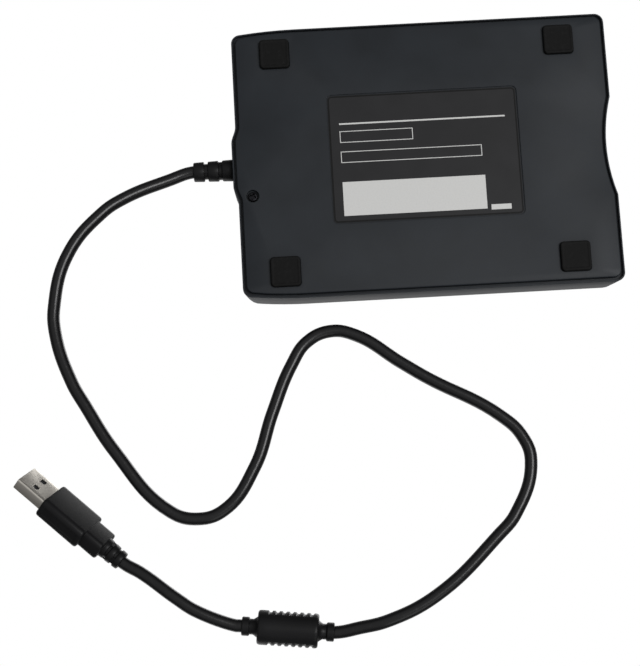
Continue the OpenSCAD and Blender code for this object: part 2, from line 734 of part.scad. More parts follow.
module stator_coils() {
    color([0.72, 0.42, 0.2]) for (a = [0:30:330])
        translate([0, hub_y, board_z]) rotate(a + 15) translate([13.2, 0, 0]) winding();
}

// One flat winding
module winding() {
    difference() {
        cylinder(r = 2.8, h = 0.5, $fn = 24);
        translate([0, 0, -1]) cylinder(r = 1.1, h = 3, $fn = 24);
    }
}

module spindle_bearing() {
    color([0.78, 0.62, 0.3]) translate([0, hub_y, 0]) difference() {
        union() {
            translate([0, 0, pan_z + 0.1]) cylinder(r = 3.9, h = board_z - pan_z + 0.2);
            translate([0, 0, deck_z + 0.8]) cylinder(r = 3, h = 0.7);
        }
        translate([0, 0, pan_z - 1]) cylinder(r = 1 + run_gap, h = 8);
    }
}

module spindle_shaft() {
    color([0.8, 0.8, 0.82]) translate([0, hub_y, pan_z + 0.2]) {
        cylinder(r = 1, h = loaded_z + 1.8 - pan_z - 0.2);
        translate([0, 0, loaded_z - gap - pan_z - 0.2]) cylinder(r = 1.98, h = 2.1);
    }
}

rotor_z = board_z + 0.75;

module spindle_rotor() {
    color([0.7, 0.71, 0.73]) translate([0, hub_y, rotor_z]) difference() {
        cylinder(d = rotor_d, h = loaded_z - gap - rotor_z);
        translate([0, 0, -1]) cylinder(d = rotor_d - 1.6, h = loaded_z - gap - rotor_z - 0.6 + 1);
        translate([0, 0, -1]) cylinder(r = 1, h = 8);
        for (a = [45:90:315]) rotate(a) translate([11, 0, -1]) cylinder(r = 2.4, h = 8, $fn = 24);
    }
}

module chuck_hub() {
    z0 = loaded_z - gap;
    color([0.25, 0.25, 0.27]) translate([0, hub_y, 0]) {
        difference() {
            translate([0, 0, z0]) cylinder(r = 10.5, h = 0.9);
            translate([0, 0, z0 - 1]) cylinder(r = 2, h = 4);
        }
        // The drive pin that turns the disk's hub plate
        translate([8, 0, z0 + 0.8]) cylinder(r = 1, h = 0.9, $fn = 24);
    }
}

// ---------------------------------------------------------------- head positioning

module stepper_motor() {
    color([0.62, 0.63, 0.66]) difference() {
        union() {
            rod_y([screw_axis_x, motor_y, screw_axis_z], motor_d / 2, mech_y1 - sheet_t - motor_y - 0.1);
            span([screw_axis_x - 7, motor_y - 0.6, deck_z], [screw_axis_x + 7, motor_y + 0.1, screw_axis_z + 3]);
        }
        rod_y([screw_axis_x, motor_y - 2, screw_axis_z], screw_d / 2 + 0.3, 4);
    }
}

// The screw: a rod with a single coarse groove
module lead_screw() {
    l = motor_y + 1.6 - bearing_y - 0.2;
    n = ceil(l / screw_lead * 8);
    core = screw_d / 2;
    color([0.78, 0.79, 0.8]) {
        translate([screw_axis_x, bearing_y + 1.5, screw_axis_z]) rotate([-90, 0, 0])
            linear_extrude(l - 2, twist = -360 * (l - 2) / screw_lead, slices = n, segments = 12)
                polygon([for (i = [0:11]) let(a = 30 * i) (core - (i < 2 ? 0.45 : 0)) * [cos(a), sin(a)]]);
        rod_y([screw_axis_x, bearing_y + 0.1, screw_axis_z], 0.8, 1.6);
    }
}

module screw_bearing() {
    color([0.65, 0.66, 0.68]) difference() {
        union() {
            span([screw_axis_x - 3, bearing_y, deck_z], [screw_axis_x + 3, bearing_y + 1.1, screw_axis_z + 1.5]);
            span([screw_axis_x - 3, bearing_y, deck_z], [screw_axis_x + 3, bearing_y + 4, deck_z + 0.6]);
        }
        rod_y([screw_axis_x, bearing_y - 1, screw_axis_z], 0.8 + run_gap, 4);
    }
}

module guide_rod() {
    color([0.82, 0.83, 0.85])
        rod_y([rod_x, disk_y1 + 0.6, rod_z], rod_d / 2, mech_y1 - sheet_t - disk_y1 - 0.7);
}

// Saddles that hold the rod's two ends to the deck
module rod_clamps() {
    color([0.6, 0.6, 0.62]) for (y = [disk_y1 + 0.6, mech_y1 - sheet_t - 0.8]) difference() {
        span([rod_x - 2.6, y, deck_z], [rod_x + 2.6, y + 0.7, rod_z + rod_d / 2 + 0.4]);
        rod_y([rod_x, y - 1, rod_z], rod_d / 2, 4);
    }
}

// The carriage at the outermost track
module head_carriage() {
    color([0.2, 0.2, 0.22]) difference() {
        union() {
            span([-7, head_y - 3.4, deck_z + 0.4], [7, block_y0 + 1, platform_z]);
            span([-14.6, block_y0, deck_z + 1.2], [16, block_y0 + block_l, rod_z + 1.2]);
            rod_y([rod_x, block_y0, rod_z], rod_d / 2 + 1.1, block_l);
            span([-5.5, block_y0 + 1.5, rod_z + 1], [5.5, block_y0 + 6, hinge_z - 0.25]);
            // The follower that rides in the screw's groove
            span([-18.8, block_y0 + 0.4, screw_axis_z - 0.6], [-14.5, block_y0 + 2, screw_axis_z + 0.6]);
            rod_x([-21 + screw_d / 2 - 0.9, block_y0 + 1.2, screw_axis_z], 0.5, 2.4);
            // The flag that the track sensor sees
            span([15.9, block_y0 + 6.5, rod_z - 0.4], [21.4, block_y0 + 8.5, rod_z + 0.8]);
            span([20.6, block_y0 + 6.5, drive_top + 1.4], [21.4, block_y0 + 8.5, rod_z + 0.8]);
        }
        rod_y([rod_x, block_y0 - 1, rod_z], rod_d / 2 + run_gap, block_l + 2);
        for (s = [-1, 1]) span([s * 4.2 - 1.6, head_y + 6, deck_z], [s * 4.2 + 1.6, head_y + 19, platform_z + 1]);
    }
}

module lower_head() {
    color([0.86, 0.84, 0.78]) translate([-3, head_y - 3, platform_z]) difference() {
        cube([6, 6, lower_head_z - platform_z]);
        translate([2.6, -1, lower_head_z - platform_z - 0.25]) cube([0.8, 8, 1]);
    }
}

ear_y = hinge_y - 13.6;

module upper_arm() {
    color([0.24, 0.24, 0.26]) {
        difference() {
            translate([0, 0, arm_z]) linear_extrude(arm_t) {
                polygon([[-6, hinge_y - 1], [-4, head_y - 4], [4, head_y - 4], [6, hinge_y - 1]]);
            }
            for (s = [-1, 1]) span([s * 2.4 - 0.9, head_y + 6, arm_z - 1], [s * 2.4 + 0.9, head_y + 20, arm_z + 2]);
        }
        // The root that sits over the leaf
        span([-4, hinge_y - 3, hinge_z + 0.05], [4, hinge_y + 1, arm_z + 0.1]);
        // The ear that the cradle lifts
        span([4.5, ear_y - 1.2, arm_z], [arm_slot + 1.6, ear_y + 1.2, arm_z + arm_t]);
    }
}

module upper_head() {
    color([0.86, 0.84, 0.78]) translate([-3, head_y - 3, arm_z - 0.95]) cube([6, 6, 0.95]);
}

// The leaf that the arm bends on
module arm_leaf() {
    color([0.75, 0.75, 0.77]) span([-4, hinge_y - 0.1, hinge_z - 0.25], [4, block_y0 + 5.9, hinge_z - 0.05]);
}

// ---------------------------------------------------------------- boards and sensors

module drive_board() {
    color([0.1, 0.35, 0.25]) difference() {
        union() {
            span([18, hub_y + 24, drive_z], [mech_x - 1.5, mech_y1 - 1.2, drive_top]);
            for (x = [mech_x - 18, mech_x - 6], y = [hub_y + 30, mech_y1 - 8])
                translate([x, y, deck_z]) cylinder(r = 1.6, h = drive_z - deck_z + 0.1);
        }
        translate([rest_x, disk_y1 - 6, drive_z - 1]) cylinder(r = 2, h = 3);
        span([spring_x - 2.6, spring_y1 - 0.4, drive_z - 1], [mech_x, spring_y1 + 1.2, drive_top + 1]);
    }
}

module track_sensor() {
    color([0.08, 0.08, 0.09]) difference() {
        span([18.6, block_y0 + 5, drive_top], [23.6, block_y0 + 10, rod_z - 0.6]);
        span([20.1, block_y0 + 4, drive_top + 0.8], [21.9, block_y0 + 11, rod_z + 1]);
    }
}

// Three small switches at the front: write protect, density and disk in place
switch_x = mech_x - 8.5;
switch_places = [[-switch_x, disk_y0 + 7], [switch_x, disk_y0 + 7], [20, disk_y0 + 6]];
switch_r = 0.8;
plunger_travel = 1.1;

module sensor_switches() {
    color([0.12, 0.12, 0.13]) for (p = switch_places) translate([p.x, p.y, board_z]) difference() {
        translate([-1.5, -2, 0]) cube([3, 4, 1.5]);
        translate([0, 0, 0.2]) cylinder(r = switch_r + run_gap, h = 3);
    }
}

module plunger(i) {
    color([0.9, 0.9, 0.88]) translate([switch_places[i].x, switch_places[i].y, board_z + 0.2 + plunger_travel + 0.1])
        cylinder(r = switch_r, h = loaded_z - board_z - 0.3);
}

module plunger_protect() plunger(0);
module plunger_density() plunger(1);
module plunger_disk() plunger(2);

module activity_led() {
    color([0.55, 0.8, 0.4]) {
        span([-control_x - 1.5, led_y, board_z], [-control_x + 1.5, led_y + 2.8, board_z + 0.9]);
        span([-control_x - 1, led_y + 0.1, board_z + 0.8], [-control_x + 1, led_y + 2.3, board_z + 2]);
    }
}

// The flat cable between the boards, with one easy bend
module flex_cable() {
    y0 = mech_y1 - 4;
    y1 = usb_y0 + 1.6;
    z0 = drive_top + 1.1;
    z1 = usb_top + 1.1;
    t = 0.2;
    n = 8;
    mid = [for (i = [0:n]) [y0 + (y1 - y0) * i / n, z0 + (z1 - z0) * ease(i / n)]];
    color([0.85, 0.85, 0.82]) translate([flex_x - flex_w / 2, 0, 0]) rotate([90, 0, 90]) linear_extrude(flex_w)
        polygon(concat(mid, [for (i = [n:-1:0]) mid[i] + [0, t]]));
}

module flex_connectors() {
    color([0.88, 0.86, 0.8]) {
        flex_socket(mech_y1 - 6, drive_top, 3);
        flex_socket(usb_y0 + 0.6, usb_top, 3);
    }
}

module flex_socket(y, z, l) {
    difference() {
        span([flex_x - flex_w / 2 - 1, y, z], [flex_x + flex_w / 2 + 1, y + l, z + 2]);
        span([flex_x - flex_w / 2 - 0.1, y - 1, z + 0.9], [flex_x + flex_w / 2 + 0.1, y + l + 1, z + 1.6]);
    }
}

module usb_board() {
    color([0.1, 0.35, 0.25]) difference() {
        span([7 - mech_x, usb_y0, usb_z], [mech_x - 8, usb_y1, usb_top]);
        for (x = [-post_x, post_x]) translate([x, usb_y0 + 5, usb_z - 1]) cylinder(r = 0.95, h = 4);
        translate([screw_x, screw_y, usb_z - 1]) cylinder(r = 3.2, h = 4);
        span([screw_x - 3.2, screw_y, usb_z - 1], [screw_x + 3.2, usb_y1 + 1, usb_top + 1]);
    }
}

// Packaged chips on both boards: place, size
module board_chips() {
    color([0.08, 0.08, 0.09]) {
        for (c = [[-26, usb_y0 + 5, 7, 7], [flex_x - 9, usb_y0 + 7.4, 5, 4]])
            translate([c[0] - c[2] / 2, c[1] - c[3] / 2, usb_top]) cube([c[2], c[3], 1.1]);
        for (c = [[flex_x - 7, hub_y + 38, 10, 9], [mech_x - 10, hub_y + 52, 6, 5]])
            translate([c[0] - c[2] / 2, c[1] - c[3] / 2, drive_top]) cube([c[2], c[3], 0.8]);
    }
}

// Crystal and capacitor cans on the USB board
module board_parts() {
    color([0.8, 0.8, 0.82]) {
        translate([-16, usb_y0 + 5, usb_top]) pad([8, 3.6], 1.6, 3);
        for (x = [3 - post_x, -12]) translate([x, usb_y0 + 2.2, usb_top]) cylinder(r = 1.6, h = 4.4);
    }
}

header_y = usb_y0 + 1.2;

module cord_header() {
    color([0.9, 0.88, 0.82]) difference() {
        span([-5.5, header_y, usb_top], [5.5, header_y + 4, usb_top + 4]);
        for (x = [-3, -1, 1, 3]) rod_y([x, header_y + 2, usb_top + 2.4], 0.6, 4);
    }
}

// The four wires from the cord's end to the header
module cord_leads() {
    y0 = header_y + 2.1;
    colours = ["red", "white", "green", "black"];
    for (i = [0:3]) color(colours[i]) {
        a = [-3 + 2 * i, y0, usb_top + 2.4];
        b = [-0.9 + 0.6 * i, cord_y0 - 0.2, z_mid + (i % 2 == 0 ? 0.8 : -0.8)];
        sweep([a, a + [0, 2, 0], (a + b) / 2 + [0, 0.8, 0], b], 0.38, 8);
    }
}

// ---------------------------------------------------------------- cord

// Three collars on a thin sleeve, joined by webs that alternate round it
module strain_relief() {
    neck_r = relief_tip_d / 2 - 0.7;
    collar = (relief_l - 2 * slit) / 3;
    color([0.12, 0.12, 0.12]) translate([0, 0, z_mid]) rotate([-90, 0, 0]) difference() {
        union() {
            translate([0, 0, y_boss - wall_t - 1.5]) cylinder(r = 4.4, h = 1.5);
            translate([0, 0, y_boss - wall_t - 0.1]) cylinder(r = relief_d / 2 - 0.85, h = wall_t + 0.2);
            translate([0, 0, y_boss]) cylinder(r = neck_r, h = relief_l);
            for (i = [0:2]) translate([0, 0, y_boss + i * (collar + slit)])
                cylinder(r1 = relief_at(i * (collar + slit)), r2 = relief_at(i * (collar + slit) + collar), h = collar);
            for (i = [0:1]) translate([0, 0, y_boss + i * (collar + slit) + collar + slit / 2]) rotate(90 * i)
                cube([relief_tip_d - 0.4, 2.4, slit + 0.2], center = true);
        }
        cylinder(r = cord_r + cord_fit, h = 120);
    }
}

slit = 1.3;
function relief_at(s) = (relief_d + (relief_tip_d - relief_d) * s / relief_l) / 2;

module cord_long() {
    color([0.1, 0.1, 0.1]) sweep(cord_long_route, cord_r, 10);
}

module cord_short() {
    color([0.1, 0.1, 0.1]) sweep(cord_short_route, cord_r, 10);
}

// The choke's moulding: a barrel with toothed flanks, and a shoulder, neck and collar at each end
module choke_housing() {
    end = choke_l / 2;
    half = [[2.8, end + 1.8], [4.4, end], [choke_d / 2 - 0.8, end], [choke_d / 2, end - 1.2]];
    color([0.11, 0.11, 0.12]) translate(choke_at) rotate([0, 90, choke_turn]) difference() {
        union() {
            rotate_extrude() polygon(concat([[0, end + 1.8]], half,
                [for (i = [3:-1:0]) [half[i].x, -half[i].y]], [[0, -end - 1.8]]));
            for (s = [-1, 1]) {
                translate([0, 0, s * (end + 2.9)]) cylinder(r = 2.8, h = 5.6, center = true);
                translate([0, 0, s * (end + 4.3)]) cylinder(r = 3.4, h = 2.8, center = true);
            }
        }
        cylinder(r = cord_r + cord_fit, h = 60, center = true);
        cylinder(r = 5.1, h = choke_l - 3, center = true);
        for (i = [0:grooves - 1]) translate([0, 0, (i - (grooves - 1) / 2) * groove_pitch + groove_shift])
            for (flank = [90, 270]) rotate(flank - groove_span / 2) rotate_extrude(angle = groove_span)
                polygon([[choke_d / 2 - 0.6, -0.3], [choke_d / 2 + 0.3, -0.8],
                    [choke_d / 2 + 0.3, 0.8], [choke_d / 2 - 0.6, 0.3]]);
    }
}

// The grooves between the teeth
grooves = 7;
groove_pitch = 2.5;
groove_span = 70;
groove_shift = -1;

module choke_core() {
    color([0.3, 0.3, 0.32]) translate(choke_at) rotate([0, 90, choke_turn]) difference() {
        cylinder(r = 5, h = choke_l - 3.2, center = true);
        cylinder(r = cord_r + 0.2, h = 60, center = true);
    }
}

// The plug's own frame: +X to the tip, the wide faces across Z
module plug_frame() {
    translate(plug_at) rotate([0, 0, plug_turn]) rotate([plug_roll, 0, 0]) children();
}

// A block about the plug's axis with rounded long edges
module plug_block(x0, x1, w, t, r) {
    translate([x0, 0, 0]) rotate([90, 0, 90]) pad([w, t], r, x1 - x0);
}

module plug_body() {
    color([0.11, 0.11, 0.11]) plug_frame() difference() {
        union() {
            plug_block(8.5, body_l, plug_w, plug_t, 2.6);
            plug_block(body_l - e, body_l + 1, plug_w - 2, plug_t - 1.6, 2);
            plug_block(1.5, 9, plug_w - 4.6, plug_t - 1, 2.4);
            plug_block(0, 1.6, plug_w - 6.4, plug_t - 2, 2);
            rotate([0, -90, 0]) cylinder(r = 3, h = plug_relief);
            for (i = [0:1]) translate([-1.2 - i * 3.4, 0, 0]) rotate([0, -90, 0]) cylinder(r1 = 3.8 - 0.2 * i, r2 = 3.6 - 0.2 * i, h = 2.4);
        }
        translate([2, 0, 0]) rotate([0, -90, 0]) cylinder(r = cord_r + cord_fit, h = 20);
        translate([body_l - 6, 0, 0]) plug_block(0, 8, shell_w, shell_h, 0.5);
    }
}

module plug_shell() {
    x0 = body_l - 6;
    x1 = body_l + 1 + shell_l;
    color([0.72, 0.71, 0.68]) plug_frame() difference() {
        plug_block(x0, x1, shell_w - 0.04, shell_h - 0.04, 0.5);
        plug_block(x0 + 0.5, x1 + 1, shell_w - 2 * shell_t, shell_h - 2 * shell_t, 0.3);
        for (s = [-1, 1]) translate([body_l + 6.6, s * 2.6, 0]) cube([2, 2.1, 10], center = true);
    }
}

// The insulator fills the half of the shell behind the contacts
module plug_tongue() {
    color([0.12, 0.12, 0.12]) plug_frame() {
        span([body_l - 5.4, -shell_w / 2 + 0.45, -shell_h / 2 + 0.4], [body_l + 2, shell_w / 2 - 0.45, shell_h / 2 - 0.4]);
        span([body_l + 1.9, -shell_w / 2 + 0.45, -shell_h / 2 + 0.4], [body_l + shell_l + 0.4, shell_w / 2 - 0.45, -0.1]);
    }
}

module plug_contacts() {
    color([0.85, 0.68, 0.3]) plug_frame() for (y = [-3.5, -1, 1, 3.5])
        span([body_l + 2.1, y - 0.5, -0.09], [body_l + shell_l - (abs(y) > 2 ? 0.4 : 1.4), y + 0.5, 0.06]);
}

// ---------------------------------------------------------------- drawing

top_cover();
bottom_cover();
label_plate();
foot_rear_left();
foot_rear_right();
foot_front_left();
foot_front_right();
case_screw();
dust_door();
door_spring();
eject_button();
light_pipe();
mech_chassis();
mech_shield();
mech_screws();
slide_plate();
load_springs();
disk_cradle();
shutter_lever();
shutter_spring();
motor_board();
stator_coils();
spindle_bearing();
spindle_shaft();
spindle_rotor();
chuck_hub();
stepper_motor();
lead_screw();
screw_bearing();
guide_rod();
rod_clamps();
head_carriage();
lower_head();
upper_arm();
upper_head();
arm_leaf();
drive_board();
track_sensor();
sensor_switches();
plunger_protect();
plunger_density();
plunger_disk();
activity_led();
flex_cable();
flex_connectors();
usb_board();
board_chips();
board_parts();
cord_header();
cord_leads();
strain_relief();
cord_long();
choke_housing();
choke_core();
cord_short();
plug_body();
plug_shell();
plug_tongue();
plug_contacts();
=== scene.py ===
# The floppy drive's looks: finishes for every part, and the moulded and printed detail.
# The drive stands on its feet. The camera is under it and looks up, as the picture was taken.
import json
import math

import bpy
import bmesh
from mathutils import Matrix, Vector


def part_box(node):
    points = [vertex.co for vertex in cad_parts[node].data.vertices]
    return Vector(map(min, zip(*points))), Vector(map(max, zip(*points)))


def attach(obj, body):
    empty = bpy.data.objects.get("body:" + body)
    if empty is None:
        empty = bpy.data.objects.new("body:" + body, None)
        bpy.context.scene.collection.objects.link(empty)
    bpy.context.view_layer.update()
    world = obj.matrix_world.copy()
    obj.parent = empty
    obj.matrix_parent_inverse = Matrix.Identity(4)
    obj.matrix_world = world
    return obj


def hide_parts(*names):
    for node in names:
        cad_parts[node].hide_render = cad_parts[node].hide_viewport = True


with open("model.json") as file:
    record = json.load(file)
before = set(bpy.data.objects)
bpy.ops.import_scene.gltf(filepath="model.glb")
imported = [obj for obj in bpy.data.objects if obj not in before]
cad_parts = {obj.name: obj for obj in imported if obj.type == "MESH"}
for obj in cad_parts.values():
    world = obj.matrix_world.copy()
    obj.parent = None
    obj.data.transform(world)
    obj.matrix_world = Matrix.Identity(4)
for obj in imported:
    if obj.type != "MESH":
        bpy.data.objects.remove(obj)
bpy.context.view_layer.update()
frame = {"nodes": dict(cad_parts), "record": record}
nodes = frame["nodes"]
mm = 0.001
print("drive: frame loaded with", len(nodes), "parts")


# the camera: its place in metres, where it looks, and its lens in millimetres
picture = {
    "place": (0.1581, 0.04975, -0.5695),
    "look": (-0.1599, -0.0124, 0.9871),
    "right": (0.0555, -0.9985, -0.0036),
    "lens": 85,
    "longSide": 36,
    "clip": (0.01, 20),
}


def addCamera():
    lens = bpy.data.cameras.new("pictureView")
    lens.lens = picture["lens"]
    lens.sensor_width = picture["longSide"]
    lens.sensor_fit = "AUTO"
    lens.clip_start, lens.clip_end = picture["clip"]
    camera = bpy.data.objects.new("pictureView", lens)
    bpy.context.scene.collection.objects.link(camera)
    back = -Vector(picture["look"]).normalized()
    right = Vector(picture["right"])
    right = (right - back * right.dot(back)).normalized()
    up = back.cross(right)
    turn = Matrix((right, up, back)).transposed()
    camera.matrix_world = Matrix.Translation(picture["place"]) @ turn.to_4x4()
    bpy.context.scene.camera = camera


addCamera()
print("drive: camera placed")


# the cord: sizes and places in millimetres, turns in degrees
cordFacts = {
    "diameter": 4.7,
    "sides": 6,
    "smooth": 10,
    "chokeAt": (172, 60, 6.2),
    "chokeTurn": 97,
    "chokeArm": 17.4,
    "chokePast": 1.5,
    "plugAt": (139.5, 124.5, 8),
    "plugTurn": 133,
    "plugRoll": 57,
    "plugReach": 8.6,
    "plugInside": 1.8,
    "reliefTip": (0, 86.85, 10),
}


def along(turn, far):
    return Vector((math.cos(math.radians(turn)), math.sin(math.radians(turn)), 0)) * far


chokeAt = Vector(cordFacts["chokeAt"])
plugAt = Vector(cordFacts["plugAt"])
chokeWay = along(cordFacts["chokeTurn"], cordFacts["chokeArm"])
chokeNext = along(cordFacts["chokeTurn"], cordFacts["chokeArm"] + cordFacts["chokePast"])
cordRoute = [
    (0, 66, 10), (0, 76, 10), (0, 87.85, 10), (2.5, 95.5, 9.2), (10, 113.5, 5.4),
    (15.5, 121.5, 3.8), (31, 134.5, 2.35), (50, 140, 2.35), (59.5, 140, 2.35), (78.5, 134.5, 2.35),
    (88, 129.5, 2.35), (105, 119.5, 2.35), (128, 100, 2.35), (131, 91, 2.35), (128.5, 81, 2.35),
    (113.5, 69, 2.35), (94, 61.5, 2.35), (76.5, 53.5, 2.35), (68.5, 47.5, 2.35), (65, 38.5, 2.35),
    (67, 29.5, 2.35), (78, 13.5, 2.35), (84, 4.5, 2.35), (99.5, -21.5, 2.35), (107.5, -29, 2.35),
    (116.5, -31.5, 2.35), (135.5, -24.5, 2.35), (143, -17.5, 2.35), (163, 6, 2.35), (171, 24, 3),
    (173, 34.5, 4.9), tuple(chokeAt - chokeWay), tuple(chokeAt), tuple(chokeAt + chokeWay),
    tuple(chokeAt + chokeNext), (163.6, 93, 5), (159, 99.5, 5), (149.2, 112, 6.8),
    tuple(plugAt - along(cordFacts["plugTurn"], cordFacts["plugReach"])),
    tuple(plugAt + along(cordFacts["plugTurn"], cordFacts["plugInside"])),
]


def addCord():
    line = bpy.data.curves.new("cord", "CURVE")
    line.dimensions = "3D"
    line.bevel_depth = cordFacts["diameter"] / 2 * mm
    line.bevel_resolution = cordFacts["sides"]
    line.resolution_u = cordFacts["smooth"]
    line.use_fill_caps = True
    spline = line.splines.new("BEZIER")
    spline.bezier_points.add(len(cordRoute) - 1)
    for point, place in zip(spline.bezier_points, cordRoute):
        point.co = Vector(place) * mm
        point.handle_left_type = point.handle_right_type = "AUTO"
    cord = bpy.data.objects.new("cord", line)
    bpy.context.scene.collection.objects.link(cord)
    bpy.context.view_layer.update()
    return cord, spline.calc_length()


cord, cordLength = addCord()
print("drive: cord laid,", round(cordLength * 1000), "mm")


# the finishes: two small classes for a material's nodes, then a function for each kind
class Wire:  # one output of a finish's nodes, on which sums can be written
    def __init__(self, finish, socket):
        self.finish = finish
        self.socket = socket

    def sum(self, what, first, second):
        return self.finish.node("ShaderNodeMath", {"operation": what}, {0: first, 1: second})

    def __add__(self, other):
        return self.sum("ADD", self, other)

    def __radd__(self, other):
        return self.sum("ADD", other, self)

    def __sub__(self, other):
        return self.sum("SUBTRACT", self, other)

    def __rsub__(self, other):
        return self.sum("SUBTRACT", other, self)

    def __mul__(self, other):
        return self.sum("MULTIPLY", self, other)

    def __rmul__(self, other):
        return self.sum("MULTIPLY", other, self)

    def held(self):
        return self.finish.node("ShaderNodeClamp", {}, {0: self})


class Finish:  # one material: its shader is skin, and every other node is made by node()
    def __init__(self, name, colour, rough, metal=0.0, shine=0.5):
        self.material = bpy.data.materials.new(name)
        self.material.use_nodes = True
        self.material.diffuse_color = (*colour, 1)
        self.nodes = self.material.node_tree.nodes
        self.links = self.material.node_tree.links
        self.skin = self.nodes["Principled BSDF"]
        self.set("Base Color", (*colour, 1))
        self.set("Roughness", rough)
        self.set("Metallic", metal)
        self.set("Specular IOR Level", shine)
        self.place = self.node("ShaderNodeTexCoord", out="Object")

    def set(self, name, value, shader=None):
        socket = (shader or self.skin).inputs[name]
        if isinstance(value, Wire):
            self.links.new(value.socket, socket)
        else:
            socket.default_value = value

    def node(self, kind, settings=None, values=None, out=0):
        made = self.nodes.new(kind)
        for key, value in (settings or {}).items():
            setattr(made, key, value)
        for key, value in (values or {}).items():
            self.set(key, value, made)
        return Wire(self, made.outputs[out])

    def stretched(self, scale):  # the object's own coordinates, scaled axis by axis
        return self.node("ShaderNodeMapping", {}, {"Vector": self.place, "Scale": scale})

    def speckle(self, size, detail, where=None):
        return self.node("ShaderNodeTexNoise", {}, {"Vector": where or self.place, "Scale": 1 / (size * mm),
                                                    "Detail": detail, "Roughness": 0.5}, "Fac")

    def cells(self, size):
        values = {"Vector": self.place, "Scale": 1 / (size * mm)}
        return self.node("ShaderNodeTexVoronoi", {}, values, "Distance")

    def ramp(self, value, low, high, fromTone=0.0, toTone=1.0):
        return self.node("ShaderNodeMapRange", {}, {"Value": value, "From Min": low, "From Max": high,
                                                    "To Min": fromTone, "To Max": toTone})

    def blend(self, first, second, part):  # sockets 6 and 7 hold the two colours
        values = {6: (*first, 1) if isinstance(first, tuple) else first,
                  7: (*second, 1) if isinstance(second, tuple) else second, 0: part}
        return self.node("ShaderNodeMix", {"data_type": "RGBA"}, values, 2)

    def edges(self, reach):  # 1 on worn outer edges, 0 on the flats
        bent = self.node("ShaderNodeBevel", {"samples": 4}, {"Radius": reach * mm})
        flat = self.node("ShaderNodeNewGeometry", out="Normal")
        same = self.node("ShaderNodeVectorMath", {"operation": "DOT_PRODUCT"}, {0: bent, 1: flat}, "Value")
        return self.ramp(same, 0.995, 0.8)

    def relief(self, height, depth, strength, over=None):
        values = {"Height": height, "Distance": depth * mm, "Strength": strength}
        if over:
            values["Normal"] = over
        return self.node("ShaderNodeBump", {}, values)

    def rounded(self, reach):
        return self.node("ShaderNodeBevel", {"samples": 4}, {"Radius": reach * mm})


def mouldedPlastic(name, tone, grain=0.4, depth=0.03, rough=0.46, shine=0.2, wear=0.3, edge=0.25):
    look = Finish(name, tone, rough, shine=shine)
    fine = look.speckle(grain, 2)
    broad = look.speckle(18, 3)
    rub = look.speckle(2.4, 4)
    worn = (look.edges(edge) * look.ramp(rub, 0.45, 0.75)).held() * wear
    pale = tuple(min(1, part * 1.9 + 0.01) for part in tone)
    dull = tuple(part * 0.8 for part in tone)
    plain = look.blend(dull, tone, look.ramp(broad, 0.35, 0.65))
    look.set("Base Color", look.blend(plain, pale, worn))
    look.set("Roughness", rough + (fine - 0.5) * 0.12 + (broad - 0.5) * 0.1 - worn * 0.3)
    look.set("Normal", look.relief(fine, depth, 0.8, look.rounded(edge)))
    return look.material


def softRubber(name, tone):
    look = Finish(name, tone, 0.62, shine=0.1)
    fine = look.speckle(0.25, 3)
    dust = look.ramp(look.speckle(1.6, 4), 0.52, 0.78) * 0.35
    look.set("Base Color", look.blend(tone, tuple(part + 0.012 for part in tone), dust))
    look.set("Roughness", 0.55 + fine * 0.2 + dust * 0.2)
    look.set("Normal", look.relief(fine, 0.02, 0.7, look.rounded(0.3)))
    return look.material


def printedFilm(name, tone):
    look = Finish(name, tone, 0.36, shine=0.2)
    fine = look.speckle(0.5, 2)
    broad = look.speckle(9, 3)
    pale = tuple(part * 1.12 for part in tone)
    look.set("Base Color", look.blend(tone, pale, look.ramp(broad, 0.4, 0.7)))
    look.set("Roughness", 0.32 + broad * 0.06)
    look.set("Normal", look.relief(fine, 0.006, 0.5))
    return look.material


def sheetSteel(name, tone, rough=0.34, grainAxis=(1, 14, 14), depth=0.006, stain=0.15):
    look = Finish(name, tone, rough, metal=1.0)
    drawn = look.speckle(0.5, 3, look.stretched(grainAxis))
    broad = look.speckle(7, 4)
    dull = tuple(part * 0.72 for part in tone)
    look.set("Base Color", look.blend(tone, dull, look.ramp(broad, 0.45, 0.8) * stain * 3))
    look.set("Roughness", rough + (drawn - 0.5) * 0.2 + look.ramp(broad, 0.4, 0.8) * stain)
    look.set("Normal", look.relief(drawn, depth, 0.6, look.rounded(0.12)))
    return look.material


def boardLaminate(name, tone):
    look = Finish(name, tone, 0.3, shine=0.5)
    tracks = look.node("ShaderNodeTexBrick", {}, {
        "Vector": look.place, "Scale": 220.0, "Mortar Size": 0.03,
        "Color1": (0, 0, 0, 1), "Color2": (0.4, 0.4, 0.4, 1), "Mortar": (1, 1, 1, 1)})
    line = look.node("ShaderNodeRGBToBW", {}, {0: tracks})
    weave = look.speckle(0.4, 2)
    look.set("Base Color", look.blend(tone, tuple(part * 2.2 + 0.01 for part in tone), line * 0.5))
    look.set("Roughness", 0.26 + weave * 0.12)
    look.set("Normal", look.relief(line * 0.8 + weave * 0.2, 0.03, 0.5))
    return look.material


def woundCopper(name, tone):
    look = Finish(name, tone, 0.28, metal=1.0)
    ring = look.node("ShaderNodeTexWave", {"wave_type": "RINGS", "rings_direction": "Z"},
                     {"Vector": look.place, "Scale": 1500.0, "Distortion": 0.4}, "Fac")
    look.set("Base Color", look.blend(tone, tuple(part * 0.45 for part in tone), ring * 0.7))
    look.set("Roughness", 0.22 + ring * 0.2)
    look.set("Normal", look.relief(ring, 0.04, 0.6))
    return look.material


